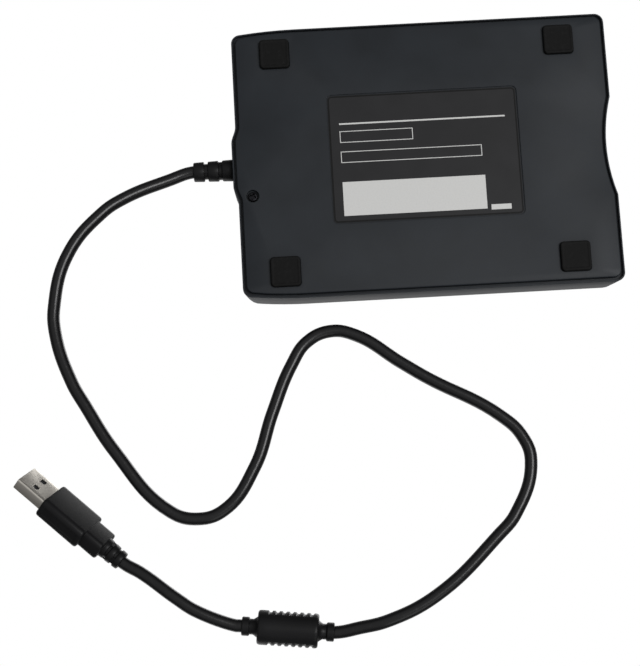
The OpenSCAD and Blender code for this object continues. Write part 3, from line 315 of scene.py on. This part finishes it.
def tintedGloss(name, tone, rough, clear=0.0):
    look = Finish(name, tone, rough, shine=0.5)
    fine = look.speckle(0.8, 2)
    broad = look.speckle(6, 3)
    look.set("Transmission Weight", clear)
    dull = tuple(part * 0.88 for part in tone)
    look.set("Base Color", look.blend(tone, dull, look.ramp(broad, 0.4, 0.7)))
    look.set("Roughness", rough + (fine - 0.5) * 0.08)
    look.set("Normal", look.relief(fine, 0.006, 0.4, look.rounded(0.1)))
    return look.material


def cordJacket(name, tone, rough, shine):
    look = Finish(name, tone, rough, shine=shine)
    fine = look.speckle(0.3, 2)
    dents = look.speckle(3.5, 3)
    dust = look.ramp(look.speckle(1.1, 4), 0.56, 0.8)
    look.set("Base Color", look.blend(tone, tuple(part + 0.008 for part in tone), dust * 0.5))
    look.set("Roughness", rough + (fine - 0.5) * 0.15 + dust * 0.12)
    look.set("Normal", look.relief(dents, 0.12, 0.35, look.relief(fine, 0.012, 0.6)))
    return look.material


def sinteredStone(name, tone):
    look = Finish(name, tone, 0.7, shine=0.4)
    pores = look.cells(0.35)
    dull = tuple(part * 0.5 for part in tone)
    look.set("Base Color", look.blend(tone, dull, look.ramp(pores, 0.2, 0.6)))
    look.set("Normal", look.relief(pores, 0.05, 0.7))
    return look.material


palette = {
    "case_plastic": mouldedPlastic("casePlastic", (0.0128, 0.0154, 0.019)),
    "label_film": printedFilm("labelFilm", (0.0125, 0.0125, 0.0135)),
    "foot_rubber": softRubber("footRubber", (0.004, 0.004, 0.004)),
    # black oxide steel, its tone lowered further as painted shade, so the flush screw head looks as if it
    # sits deeper in a recess
    "black_steel": sheetSteel("blackSteelAndRecessShade", (0.016, 0.016, 0.018), 0.4),
    "clear_plastic": tintedGloss("clearPlastic", (0.55, 0.68, 0.56), 0.12, 0.85),
    "pressed_steel": sheetSteel("pressedSteel", (0.5, 0.51, 0.53)),
    "spring_steel": sheetSteel("springSteel", (0.5, 0.5, 0.51), 0.25),
    "bright_steel": sheetSteel("brightSteel", (0.65, 0.66, 0.68), 0.16, stain=0.05),
    "board_laminate": boardLaminate("boardLaminate", (0.008, 0.07, 0.035)),
    "copper_wire": woundCopper("copperWire", (0.62, 0.27, 0.1)),
    "bearing_brass": sheetSteel("bearingBrass", (0.62, 0.43, 0.16), 0.3),
    "black_plastic": mouldedPlastic("blackPlastic", (0.016, 0.016, 0.018), 0.5, 0.008, 0.5, wear=0.1),
    "head_ceramic": tintedGloss("headCeramic", (0.7, 0.66, 0.55), 0.2),
    "cream_plastic": tintedGloss("creamPlastic", (0.72, 0.67, 0.55), 0.42),
    "wire_jacket": tintedGloss("wireJacket", (0.45, 0.05, 0.04), 0.4),
    "cord_jacket": cordJacket("cordJacket", (0.0025, 0.0025, 0.003), 0.28, 0.3),
    "ferrite": sinteredStone("ferrite", (0.07, 0.07, 0.075)),
    "plug_steel": sheetSteel("plugSteel", (0.47, 0.445, 0.405), 0.3, (14, 14, 1), 0.004, 0.12),
    "contact_gold": sheetSteel("contactGold", (0.8, 0.56, 0.2), 0.22),
}
print("drive:", len(palette), "finishes mixed")


# the CAD parts: soft shading and their finishes
shadingFacts = {"mergeWithin": 0.002, "sharpAbove": 32}


def softShading():  # merges the loose triangles and smooths all but the sharp edges
    group = bpy.data.node_groups.new("softShading", "GeometryNodeTree")
    group.interface.new_socket("Geometry", in_out="INPUT", socket_type="NodeSocketGeometry")
    group.interface.new_socket("Geometry", in_out="OUTPUT", socket_type="NodeSocketGeometry")
    comes = group.nodes.new("NodeGroupInput")
    goes = group.nodes.new("NodeGroupOutput")
    merge = group.nodes.new("GeometryNodeMergeByDistance")
    merge.inputs["Distance"].default_value = shadingFacts["mergeWithin"] * mm
    smooth = group.nodes.new("GeometryNodeSetShadeSmooth")
    smooth.domain = "FACE"
    sharp = group.nodes.new("GeometryNodeSetShadeSmooth")
    sharp.domain = "EDGE"
    sharp.inputs["Shade Smooth"].default_value = False
    angle = group.nodes.new("GeometryNodeInputMeshEdgeAngle")
    above = group.nodes.new("FunctionNodeCompare")
    above.operation = "GREATER_THAN"
    above.inputs[1].default_value = math.radians(shadingFacts["sharpAbove"])
    group.links.new(comes.outputs[0], merge.inputs["Geometry"])
    group.links.new(merge.outputs[0], smooth.inputs["Geometry"])
    group.links.new(smooth.outputs[0], sharp.inputs["Geometry"])
    group.links.new(angle.outputs["Unsigned Angle"], above.inputs[0])
    group.links.new(above.outputs[0], sharp.inputs["Selection"])
    group.links.new(sharp.outputs[0], goes.inputs[0])
    return group


shading = softShading()
for part in frame["record"]["subparts"]:
    piece = nodes[part["node"]]
    if not piece.material_slots:
        piece.data.materials.append(None)
    for place in piece.material_slots:
        place.material = palette[part["material_slot"]]
    piece.modifiers.new("softShading", "NODES").node_group = shading
print("drive: CAD parts finished")


# tools for the new pieces
near = 0.01  # mm, what the tests of place count as touching
bodyOf = {node: body for body, held in frame["record"]["behaviour"]["bodies"].items() for node in held}


def clearSelection():
    for thing in bpy.context.selected_objects:
        thing.select_set(False)


def takeUp(piece):
    clearSelection()
    piece.select_set(True)
    bpy.context.view_layer.objects.active = piece
    return piece


def settle(piece):  # puts the piece's place, turn and scale into its mesh
    takeUp(piece)
    bpy.ops.object.transform_apply(location=True, rotation=True, scale=True)
    return piece


def nodeBox(node):  # a CAD node's lowest and highest corners, in mm
    low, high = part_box(node)
    return Vector(low) / mm, Vector(high) / mm


def addBlock(low, high):
    clearSelection()
    low, high = Vector(low), Vector(high)
    bpy.ops.mesh.primitive_cube_add(size=1, location=(low + high) / 2 * mm, scale=(high - low) * mm)
    return settle(bpy.context.object)


def addRod(centre, radius, length, sides=48):
    clearSelection()
    bpy.ops.mesh.primitive_cylinder_add(vertices=sides, radius=radius * mm, depth=length * mm,
                                        location=Vector(centre) * mm)
    return settle(bpy.context.object)


def startShaping(piece):
    takeUp(piece)
    bpy.ops.object.mode_set(mode="EDIT")


def endShaping():
    bpy.ops.object.mode_set(mode="OBJECT")
    return bpy.context.object


def pick(kind, test):  # selects what passes a test of its middle and its direction or normal, in mm
    mesh = bpy.context.object.data
    bpy.ops.mesh.select_mode(type=kind)
    bpy.ops.mesh.select_all(action="DESELECT")
    form = bmesh.from_edit_mesh(mesh)
    if kind == "EDGE":
        for edge in form.edges:
            first, second = (corner.co / mm for corner in edge.verts)
            if test((first + second) / 2, (second - first).normalized()):
                edge.select_set(True)
    elif kind == "FACE":
        for face in form.faces:
            if test(face.calc_center_median() / mm, face.normal):
                face.select_set(True)
    else:
        for corner in form.verts:
            if test(corner.co / mm, corner.normal):
                corner.select_set(True)
    form.select_flush_mode()
    bmesh.update_edit_mesh(mesh)


def roundEdges(test, reach, steps=3):
    pick("EDGE", test)
    bpy.ops.mesh.bevel(offset=reach * mm, segments=steps, affect="EDGES")


def insetFaces(test, reach):
    pick("FACE", test)
    bpy.ops.mesh.inset(thickness=reach * mm)


def turnProfile(outline, sides=64):  # a closed outline of radius and height, spun about the Z axis
    clearSelection()
    bpy.ops.mesh.primitive_plane_add(size=mm)
    bpy.ops.object.mode_set(mode="EDIT")
    bpy.ops.mesh.select_mode(type="VERT")  # an earlier step may have left another mode
    bpy.ops.mesh.select_all(action="SELECT")
    bpy.ops.mesh.merge(type="CENTER")
    bpy.ops.transform.translate(value=(outline[0][0] * mm, 0, outline[0][1] * mm))
    for here, there in zip(outline, outline[1:]):
        step = ((there[0] - here[0]) * mm, 0, (there[1] - here[1]) * mm)
        bpy.ops.mesh.extrude_region_move(TRANSFORM_OT_translate={"value": step})
    ends = [Vector((radius, 0, height)) for radius, height in (outline[0], outline[-1])]
    pick("VERT", lambda spot, normal: min((spot - end).length for end in ends) < 0.001)
    bpy.ops.mesh.edge_face_add()
    bpy.ops.mesh.select_all(action="SELECT")
    bpy.ops.mesh.spin(steps=sides, angle=math.tau, center=(0, 0, 0), axis=(0, 0, 1))
    bpy.ops.mesh.select_all(action="SELECT")
    bpy.ops.mesh.remove_doubles(threshold=0.001 * mm)
    bpy.ops.mesh.normals_make_consistent(inside=False)
    return endShaping()


def runModifier(piece, kind, **settings):
    takeUp(piece)
    step = piece.modifiers.new(kind, kind)
    for key, value in settings.items():
        setattr(step, key, value)
    bpy.ops.object.modifier_apply(modifier=step.name)
    return piece


def cutAway(piece, cutters):
    for cutter in cutters:
        runModifier(piece, "BOOLEAN", operation="DIFFERENCE", solver="EXACT", object=cutter)
        bpy.data.objects.remove(cutter)
    return piece


def putAt(piece, matrix):
    piece.matrix_world = matrix
    return settle(piece)


def copyOf(piece, shift):
    twin = piece.copy()
    twin.data = piece.data.copy()
    bpy.context.scene.collection.objects.link(twin)
    return putAt(twin, Matrix.Translation(Vector(shift) * mm))


def joinUp(pieces):
    clearSelection()
    for piece in pieces:
        piece.select_set(True)
    bpy.context.view_layer.objects.active = pieces[0]
    bpy.ops.object.join()
    return pieces[0]


def placed(at, turn=0.0, about="Z"):
    return Matrix.Translation(Vector(at) * mm) @ Matrix.Rotation(math.radians(turn), 4, about)


def finishPiece(piece, name, slotName, replaces=(), body=None, angle=35, finish=None):
    settle(piece)
    piece.name = name
    bpy.ops.object.shade_smooth_by_angle(angle=math.radians(angle))
    piece.data.materials.clear()
    piece.data.materials.append(finish or palette[slotName])
    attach(piece, body or bodyOf[replaces[0]])
    if replaces:
        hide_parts(*replaces)
    return piece


# the rubber feet
footFacts = {
    "nodes": ("foot_rear_left", "foot_rear_right", "foot_front_left", "foot_front_right"),
    "cornerRound": 1.5,
    "edgeRound": 0.45,
    "rimWidth": 0.5,
    "dish": (0.2, 0.1),
    "flatIn": 0.2,
}


def addFeet():
    low, high = nodeBox(footFacts["nodes"][0])
    pad = addBlock(low, high)
    startShaping(pad)
    roundEdges(lambda spot, way: abs(way.z) > 0.9, footFacts["cornerRound"], 6)
    roundEdges(lambda spot, way: abs(spot.z - low.z) < near, footFacts["edgeRound"], 4)
    insetFaces(lambda spot, normal: normal.z < -0.99 and spot.z < low.z + near, footFacts["rimWidth"])
    slope, dish = footFacts["dish"]
    bpy.ops.mesh.inset(thickness=slope * mm, depth=-dish * mm)
    bpy.ops.mesh.inset(thickness=footFacts["flatIn"] * mm)
    endShaping()
    pads = [pad] + [copyOf(pad, nodeBox(node)[0] - low) for node in footFacts["nodes"][1:]]
    for piece, node in zip(pads, footFacts["nodes"]):
        finishPiece(piece, node.replace("foot_", "rubberFoot_"), "foot_rubber", (node,))


addFeet()
print("drive: feet pressed")


# the case screw
screwFacts = {
    "headWidth": 3.6,
    "headDeep": 1.2,
    "shankWidth": 2.2,
    "rimRound": 0.45,
    "slotLong": 2.7,
    "slotWide": 0.9,
    "slotAbove": 0.2,
    "slotDeep": 1,
    "slotTaper": 0.7,
    "slotTurns": (20, 110),
}


def crossCutter(turn, low):
    long, wide = screwFacts["slotLong"] / 2, screwFacts["slotWide"] / 2
    cutter = addBlock((-long, -wide, -screwFacts["slotAbove"]), (long, wide, screwFacts["slotDeep"]))
    startShaping(cutter)
    pick("FACE", lambda spot, normal: normal.z > 0.9)
    bpy.ops.transform.resize(value=(screwFacts["slotTaper"],) * 2 + (1,), center_override=(0, 0, 0))
    endShaping()
    return putAt(cutter, placed(low, turn))


def addCaseScrew():
    low, high = nodeBox("case_screw")
    centre = (low + high) / 2
    foot = Vector((centre.x, centre.y, low.z))
    deep = screwFacts["headDeep"]
    head = addRod(foot + Vector((0, 0, deep / 2)), screwFacts["headWidth"] / 2, deep)
    startShaping(head)
    roundEdges(lambda spot, way: abs(spot.z - low.z) < near and abs(way.z) < 0.1, screwFacts["rimRound"], 3)
    endShaping()
    cutAway(head, [crossCutter(turn, foot) for turn in screwFacts["slotTurns"]])
    shankLong = high.z - low.z - deep
    shank = addRod(foot + Vector((0, 0, deep + shankLong / 2)), screwFacts["shankWidth"] / 2, shankLong)
    finishPiece(joinUp([head, shank]), "crossScrew", "black_steel", ("case_screw",))


addCaseScrew()
print("drive: case screw set")


# the label: a plain rule, two empty boxes, a pale panel, and a dark edge ring that is painted groove shade
# and partly a printed edge
labelFacts = {
    "inkThick": 0.02,
    "line": 0.28,
    "boxes": (((-10.7, 3.5), (-6.2, 31)), ((-2.8, -22), (1.6, 31))),
    "solid": (((-13.8, -31.5), (-13.2, 31)), ((9, -22.5), (22, 31)), ((20.5, -31.5), (22.5, -24))),
    "border": {"in": 0.1, "wide": 0.55, "round": 1.5, "steps": 6},
}


def inkPatch(low, high, under):
    clearSelection()
    middle = Vector(((high[0] + low[0]) / 2, (high[1] + low[1]) / 2, under))
    bpy.ops.mesh.primitive_plane_add(size=mm, location=middle * mm)
    bpy.context.object.scale = (high[0] - low[0], high[1] - low[1], 1)
    return settle(bpy.context.object)


def inkFrame(low, high, under):
    patch = inkPatch(low, high, under)
    startShaping(patch)
    insetFaces(lambda spot, normal: True, labelFacts["line"])
    bpy.ops.mesh.delete(type="FACE")
    return endShaping()


def addLabelEdgeInkAndShade():  # a dark ring inside the film's edge: painted shade of the groove round the label, and partly a printed edge
    facts = labelFacts["border"]
    low, high = nodeBox("label_plate")
    inside = facts["in"]
    edge = inkPatch((low.x + inside, low.y + inside), (high.x - inside, high.y - inside), low.z)
    startShaping(edge)
    pick("VERT", lambda spot, normal: True)
    bpy.ops.mesh.bevel(offset=facts["round"] * mm, segments=facts["steps"], affect="VERTICES")
    insetFaces(lambda spot, normal: True, facts["wide"])
    bpy.ops.mesh.delete(type="FACE")
    endShaping()
    runModifier(edge, "SOLIDIFY", thickness=labelFacts["inkThick"] * mm, offset=-1)
    # painted shade: this dark ring stands for the shadowed groove round the label, and partly for a printed
    # edge
    dark = mouldedPlastic("edgeInkAndGrooveShade", (0.0035, 0.0035, 0.0035), 0.5, 0.004, 0.5, shine=0.15, wear=0.0)
    finishPiece(edge, "labelEdgeInkAndShade", "label_film", body="case", finish=dark)


def addLabelPrint():
    under = nodeBox("label_plate")[0].z
    ink = Finish("paleInk", (0.5, 0.5, 0.49), 0.5, shine=0.3)
    thin = ink.ramp(ink.speckle(0.6, 4), 0.3, 0.6, 0.88, 1)
    ink.set("Base Color", ink.blend((0.3, 0.3, 0.3), (0.52, 0.52, 0.51), thin))
    ink.set("Roughness", 0.42 + ink.speckle(0.5, 2) * 0.12)
    patches = [inkFrame(low, high, under) for low, high in labelFacts["boxes"]]
    patches += [inkPatch(low, high, under) for low, high in labelFacts["solid"]]
    sheet = joinUp(patches)
    runModifier(sheet, "SOLIDIFY", thickness=labelFacts["inkThick"] * mm, offset=-1)
    finishPiece(sheet, "labelPrint", "label_film", body="case", finish=ink.material)


addLabelEdgeInkAndShade()
addLabelPrint()
print("drive: label printed")


# the strain relief: three collars on a sleeve
reliefFacts = {
    "axis": (0, 71.85, 10),
    "bore": 2.4,
    "sleeve": 2.95,
    "long": 15,
    "footWide": 4.1,
    "tipWide": 3.65,
    "gap": 1.3,
    "round": 0.4,
    "web": 2.4,
    "webFrom": 2.7,
    "webIn": 0.85,
    "webRound": 0.15,
    "overlap": 0.1,
    "flange": 4.4,
    "flangeSpan": (-3.5, -2),
    "inWall": 3.2,
    "pastWall": 0.05,
}


def collarOutline(start, end, wide0, wide1, bore, soft):
    slight = soft * 0.3
    return [(bore, start), (wide0 - soft, start), (wide0 - slight, start + slight), (wide0, start + soft),
            (wide1, end - soft), (wide1 - slight, end - slight), (wide1 - soft, end), (bore, end)]


def addStrainRelief():
    facts = reliefFacts
    bore, sleeve, inWall, flange = (facts[key] for key in ("bore", "sleeve", "inWall", "flange"))
    inner, outer = facts["flangeSpan"]
    overlap = facts["overlap"]
    tip = facts["long"] - overlap
    collar = (facts["long"] - 2 * facts["gap"]) / 3

    def wide(far):
        return facts["footWide"] + (facts["tipWide"] - facts["footWide"]) * far / facts["long"]

    past = facts["pastWall"]
    pieces = [turnProfile([(bore, inner), (flange, inner), (flange, outer), (inWall, outer),
                           (inWall, past), (sleeve, past), (sleeve, tip), (bore, tip)])]
    for place in range(3):
        start = place * (collar + facts["gap"])
        end = start + collar
        pieces.append(turnProfile(collarOutline(start, end, wide(start), wide(end), bore, facts["round"])))
        for side in (-1, 1) if place < 2 else ():
            web = addBlock((facts["webFrom"], -facts["web"] / 2, end - overlap),
                           (wide(start) - facts["webIn"], facts["web"] / 2, end + facts["gap"] + overlap))
            startShaping(web)
            outside = facts["webFrom"] + 0.2
            roundEdges(lambda spot, way: abs(way.z) > 0.9 and spot.x > outside, facts["webRound"])
            endShaping()
            pieces.append(putAt(web, placed((0, 0, 0), 90 * place + 90 * side + 90)))
    relief = putAt(joinUp(pieces), placed(facts["axis"], -90, "X"))
    finishPiece(relief, "slottedRelief", "cord_jacket", ("strain_relief",), finish=jacketMoulding)


jacketMoulding = mouldedPlastic("jacketMoulding", (0.0055, 0.0055, 0.006), grain=0.5, depth=0.02, rough=0.4,
                                shine=0.14, wear=0.25, edge=0.3)
addStrainRelief()
print("drive: strain relief moulded")


# the choke: a barrel with toothed flanks
chokeFacts = {
    "long": 22,
    "wide": 12.4,
    "bore": 2.4,
    "core": 5.15,
    "coreLong": 19,
    "neck": 2.8,
    "collar": 3.4,
    "collarLong": 2.8,
    "reach": 5.7,
    "shoulder": 3.7,
    "shoulderLong": 1.5,
    "shoulderFoot": (0.2, 0.15),
    "neckStep": 0.1,
    "endRound": ((0.9, 0), (0.45, 0.12), (0.12, 0.5), (0, 1.1)),
    "soft": 0.3,
    "grooves": 7,
    "pitch": 2.5,
    "shift": -1,
    "deep": 0.6,
    "floorHalf": 0.3,
    "mouthHalf": 0.8,
    "span": 35,
}


def chokeRows():
    facts = chokeFacts
    count, pitch = facts["grooves"], facts["pitch"]
    middles = [(place - (count - 1) / 2) * pitch + facts["shift"] for place in range(count)]
    edges = (-facts["mouthHalf"], -facts["floorHalf"], facts["floorHalf"], facts["mouthHalf"])
    return middles, [middle + edge for middle in middles for edge in edges]


def addChoke():
    facts = chokeFacts
    end, radius, soft = facts["long"] / 2, facts["wide"] / 2, facts["soft"]
    bore, core, coreEnd = facts["bore"], facts["core"], facts["coreLong"] / 2
    neck, collar, shoulder = facts["neck"], facts["collar"], facts["shoulder"]
    middles, rows = chokeRows()
    tip = end + facts["reach"]
    collarEnd = tip - facts["collarLong"]
    spread, rise = facts["shoulderFoot"]
    half = [(bore, tip), (collar - soft, tip), (collar, tip - soft), (collar, collarEnd + soft),
            (collar - soft, collarEnd), (neck, collarEnd - facts["neckStep"]),
            (neck, end + facts["shoulderLong"]), (shoulder, end + rise), (shoulder + spread, end)]
    half += [(radius - inside, end - back) for inside, back in facts["endRound"]]
    low = [(wide, -height) for wide, height in half]
    outline = low + [(radius, row) for row in rows] + half[::-1]
    outline += [(bore, coreEnd), (core, coreEnd), (core, -coreEnd), (bore, -coreEnd)]
    barrel = turnProfile(outline, 96)
    startShaping(barrel)

    def inGroove(spot, normal):
        turn = math.degrees(math.atan2(spot.y, spot.x))
        flank = abs(abs(turn) - 90) <= facts["span"]
        bottom = min(abs(abs(spot.z - middle) - facts["floorHalf"]) for middle in middles) < near
        return flank and bottom and math.hypot(spot.x, spot.y) > radius - 0.05

    pick("VERT", inGroove)
    narrower = (radius - facts["deep"]) / radius
    bpy.ops.transform.resize(value=(narrower, narrower, 1), center_override=(0, 0, 0))
    endShaping()
    across = Matrix.Rotation(math.radians(90), 4, "Y")
    putAt(barrel, placed(cordFacts["chokeAt"], cordFacts["chokeTurn"]) @ across)
    finishPiece(barrel, "chokeBarrel", "cord_jacket", ("choke_housing",), finish=jacketMoulding)


addChoke()
print("drive: choke moulded")


# the plug: its overmould and its shell
plugFacts = {
    "body": ((8.5, -8, -4.1), (27.6, 8, 4.1)),
    "bodyRound": 2.3,
    "frontRound": 1.0,
    "panelIn": 0.5,
    "panelSlope": 0.6,
    "panelDeep": 0.25,
    "shoulder": ((0.6, -5.8, -3.65), (9.5, 5.8, 3.65)),
    "shoulderRound": 1.9,
    "shoulderTip": 0.9,
    "rings": ((-7.5, -5.2, 3.5), (-4.3, -2.0, 3.65), (-1.1, 1.2, 3.8)),
    "ringSoft": 0.4,
    "ringGrow": 0.1,
    "bore": 2.4,
    "sleeve": 3.05,
    "sleeveSpan": (-7.4, 2),
    "webWide": 2.6,
    "webFrom": 2.7,
    "webIn": 0.15,
    "overlap": 0.1,
    "mouth": ((21, -6.05, -2.3), (28.6, 6.05, 2.3)),
    "shell": ((21.2, -6, -2.25), (40, 6, 2.25)),
    "shellRound": 0.75,
    "shellThick": 0.3,
    "windowAt": (33.6, 2.6),
    "windowSize": (2.1, 2.2),
    "windowReach": 5,
}
plugPlace = placed(cordFacts["plugAt"], cordFacts["plugTurn"]) @ Matrix.Rotation(
    math.radians(cordFacts["plugRoll"]), 4, "X")


def addOvermould():
    facts = plugFacts
    back, front = (corner[0] for corner in facts["body"])
    body = addBlock(*facts["body"])
    startShaping(body)
    roundEdges(lambda spot, way: abs(way.x) > 0.9, facts["bodyRound"], 6)
    roundEdges(lambda spot, way: abs(spot.x - front) < near, facts["frontRound"], 4)
    roundEdges(lambda spot, way: abs(spot.x - back) < near, facts["frontRound"], 3)
    insetFaces(lambda spot, normal: abs(normal.y) > 0.99, facts["panelIn"])
    bpy.ops.mesh.inset(thickness=facts["panelSlope"] * mm, depth=-facts["panelDeep"] * mm)
    bpy.ops.mesh.inset(thickness=facts["panelSlope"] / 2 * mm)
    endShaping()
    shoulder = addBlock(*facts["shoulder"])
    startShaping(shoulder)
    roundEdges(lambda spot, way: abs(way.x) > 0.9, facts["shoulderRound"], 5)
    roundEdges(lambda spot, way: spot.x < facts["shoulder"][0][0] + near, facts["shoulderTip"], 4)
    endShaping()
    bore, sleeveWide = facts["bore"], facts["sleeve"]
    tail, root = facts["sleeveSpan"]
    sleeve = turnProfile([(bore, tail), (sleeveWide, tail), (sleeveWide, root), (bore, root)])
    rings = [turnProfile(collarOutline(start, end, wide, wide + facts["ringGrow"], bore, facts["ringSoft"]))
             for start, end, wide in facts["rings"]]
    webs = []
    for place, ((_, start, wide), (end, _, _)) in enumerate(zip(facts["rings"], facts["rings"][1:])):
        for side in (-1, 1):
            web = addBlock((facts["webFrom"], -facts["webWide"] / 2, start - facts["overlap"]),
                           (wide - facts["webIn"], facts["webWide"] / 2, end + facts["overlap"]))
            webs.append(putAt(web, placed((0, 0, 0), 90 * place + 90 * side)))
    relief = putAt(joinUp([sleeve] + rings + webs), Matrix.Rotation(math.radians(90), 4, "Y"))
    cutAway(body, [addBlock(*facts["mouth"])])
    piece = putAt(joinUp([body, shoulder, relief]), plugPlace)
    finishPiece(piece, "plugOvermould", "cord_jacket", ("plug_body",), finish=jacketMoulding)


def addShell():
    facts = plugFacts
    shell = addBlock(*facts["shell"])
    startShaping(shell)
    roundEdges(lambda spot, way: abs(way.x) > 0.9, facts["shellRound"], 5)
    pick("FACE", lambda spot, normal: abs(normal.x) > 0.9)
    bpy.ops.mesh.delete(type="FACE")
    endShaping()
    runModifier(shell, "SOLIDIFY", thickness=facts["shellThick"] * mm, offset=-1)
    atX, atY = facts["windowAt"]
    wideX, wideY = facts["windowSize"]
    reach = facts["windowReach"]
    windows = [addBlock((atX - wideX / 2, side * atY - wideY / 2, -reach),
                        (atX + wideX / 2, side * atY + wideY / 2, reach)) for side in (-1, 1)]
    cutAway(shell, windows)
    finishPiece(putAt(shell, plugPlace), "plugShell", "plug_steel", ("plug_shell",))


addOvermould()
addShell()
print("drive: plug moulded")


# the springs
springFacts = {
    "steps": 24,
    "wireSides": 3,
    "smooth": 60,
    "loadWire": 0.25,
    "loadTurns": 8,
    "doorWire": 0.2,
    "doorTurns": 4,
    "leverWire": 0.13,
    "leverTurns": 1.4,
}


def coilSpring(radius, wire, long, turns):  # along +Z from the origin, as one tube
    line = bpy.data.curves.new("coil", "CURVE")
    line.dimensions = "3D"
    line.bevel_depth = wire * mm
    line.bevel_resolution = springFacts["wireSides"]
    line.use_fill_caps = True
    count = round(turns * springFacts["steps"])
    spline = line.splines.new("POLY")
    spline.points.add(count)
    for place, point in enumerate(spline.points):
        turn = math.tau * place / springFacts["steps"]
        height = wire + (long - 2 * wire) * place / count
        point.co = (radius * math.cos(turn) * mm, radius * math.sin(turn) * mm, height * mm, 1)
    coil = bpy.data.objects.new("coil", line)
    bpy.context.scene.collection.objects.link(coil)
    takeUp(coil)
    bpy.ops.object.convert(target="MESH")
    return bpy.context.object


def addSprings():
    low, high = nodeBox("load_springs")
    wide = (high.z - low.z) / 2
    height = (low.z + high.z) / 2
    wire = springFacts["loadWire"]
    coils = [putAt(coilSpring(wide - wire, wire, high.y - low.y, springFacts["loadTurns"]),
                   placed((side * (high.x - wide), low.y, height), -90, "X")) for side in (-1, 1)]
    finishPiece(joinUp(coils), "loadCoils", "spring_steel", ("load_springs",), angle=springFacts["smooth"])
    low, high = nodeBox("door_spring")
    middle = (low + high) / 2
    wire = springFacts["doorWire"]
    coil = coilSpring((high.z - low.z) / 2 - wire, wire, high.x - low.x, springFacts["doorTurns"])
    putAt(coil, placed((low.x, middle.y, middle.z), 90, "Y"))
    finishPiece(coil, "doorCoil", "spring_steel", ("door_spring",), angle=springFacts["smooth"])
    low, high = nodeBox("shutter_spring")
    middle = (low + high) / 2
    wire = springFacts["leverWire"]
    coil = coilSpring((high.x - low.x) / 2 - wire, wire, high.z - low.z, springFacts["leverTurns"])
    putAt(coil, placed((middle.x, middle.y, low.z)))
    finishPiece(coil, "leverCoil", "spring_steel", ("shutter_spring",), angle=springFacts["smooth"])


addSprings()
print("drive: springs wound")


# the cord: its finish, fixed to the case, in place of the CAD cords
cord.data.materials.append(palette["cord_jacket"])
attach(cord, "case")
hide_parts("cord_long", "cord_short")


# the room: floor, world and lamps
room = {
    "centre": (0.06, 0),
    "aim": (0.06, 0.03, 0),
    "floorSize": 3.0,
    "floorTone": (0.9, 0.9, 0.9),
    "floorFade": (0.3, 0.8),
    "drop": 0.0002,
    "ambient": 0.5,
    "shine": {"From Min": 0.2, "From Max": 0.9, "To Min": 0.15, "To Max": 0.7},
    "lamps": {  # name: place, strength, size
        "under": ((0.2, -1.2, -2.3), 40, 1.0),
        "underSide": ((0.9, -0.3, -0.5), 1, 0.5),
        "over": ((-0.7, -0.7, 1.3), 14, 1.2),
        "overSide": ((0.9, 0.5, 1.0), 3, 0.9),
    },
}


def addFloor():  # seen from above only, and clear far from the drive
    clearSelection()
    bpy.ops.mesh.primitive_plane_add(size=room["floorSize"], location=(*room["centre"], -room["drop"]))
    floor = bpy.context.object
    floor.name = "floor"
    look = Finish("paleFloor", room["floorTone"], 0.9, shine=0.1)
    back = look.node("ShaderNodeNewGeometry", out="Backfacing")
    far = look.node("ShaderNodeVectorMath", {"operation": "LENGTH"}, {0: look.place}, "Value")
    gone = (back + look.ramp(far, *room["floorFade"])).held()
    clear = look.node("ShaderNodeBsdfTransparent")
    both = look.node("ShaderNodeMixShader", {}, {0: gone, 2: clear})
    look.links.new(look.skin.outputs[0], both.socket.node.inputs[1])
    look.links.new(both.socket, look.nodes["Material Output"].inputs["Surface"])
    floor.data.materials.append(look.material)
    floor.visible_diffuse = False
    floor.visible_glossy = False
    floor.visible_transmission = False
    floor.visible_shadow = False


def addWorld():  # plain white where seen, dimmer as a light, and steepness shades what mirrors it
    world = bpy.data.worlds.new("paleWorld")
    bpy.context.scene.world = world
    world.use_nodes = True
    tree = world.node_tree
    lit = tree.nodes["Background"]
    lit.inputs["Color"].default_value = (1, 1, 1, 1)
    lit.inputs["Strength"].default_value = room["ambient"]
    seen = tree.nodes.new("ShaderNodeBackground")
    seen.inputs["Color"].default_value = (1, 1, 1, 1)
    shone = tree.nodes.new("ShaderNodeBackground")
    shone.inputs["Color"].default_value = (1, 1, 1, 1)
    way = tree.nodes.new("ShaderNodeTexCoord")
    apart = tree.nodes.new("ShaderNodeSeparateXYZ")
    steep = tree.nodes.new("ShaderNodeMath")
    steep.operation = "ABSOLUTE"
    fall = tree.nodes.new("ShaderNodeMapRange")
    fall.interpolation_type = "SMOOTHSTEP"
    for key, value in room["shine"].items():
        fall.inputs[key].default_value = value
    tree.links.new(way.outputs["Generated"], apart.inputs[0])
    tree.links.new(apart.outputs["Z"], steep.inputs[0])
    tree.links.new(steep.outputs[0], fall.inputs["Value"])
    tree.links.new(fall.outputs[0], shone.inputs["Strength"])
    ray = tree.nodes.new("ShaderNodeLightPath")
    first = tree.nodes.new("ShaderNodeMixShader")
    second = tree.nodes.new("ShaderNodeMixShader")
    third = tree.nodes.new("ShaderNodeMixShader")
    steps = ((first, "Is Glossy Ray", lit, shone), (second, "Is Camera Ray", first, seen),
             (third, "Is Transmission Ray", second, seen))
    for mix, kind, before, after in steps:
        tree.links.new(ray.outputs[kind], mix.inputs[0])
        tree.links.new(before.outputs[0], mix.inputs[1])
        tree.links.new(after.outputs[0], mix.inputs[2])
    tree.links.new(third.outputs[0], tree.nodes["World Output"].inputs["Surface"])


def addLamps():
    for name, (place, power, size) in room["lamps"].items():
        light = bpy.data.lights.new(name, "AREA")
        light.energy = power
        light.size = size
        lamp = bpy.data.objects.new(name, light)
        bpy.context.scene.collection.objects.link(lamp)
        lamp.location = place
        aim = Vector(room["aim"]) - Vector(place)
        lamp.rotation_euler = aim.to_track_quat("-Z", "Y").to_euler()


addFloor()
addWorld()
addLamps()
bpy.context.scene.view_settings.view_transform = "Standard"
print("drive: room lit")
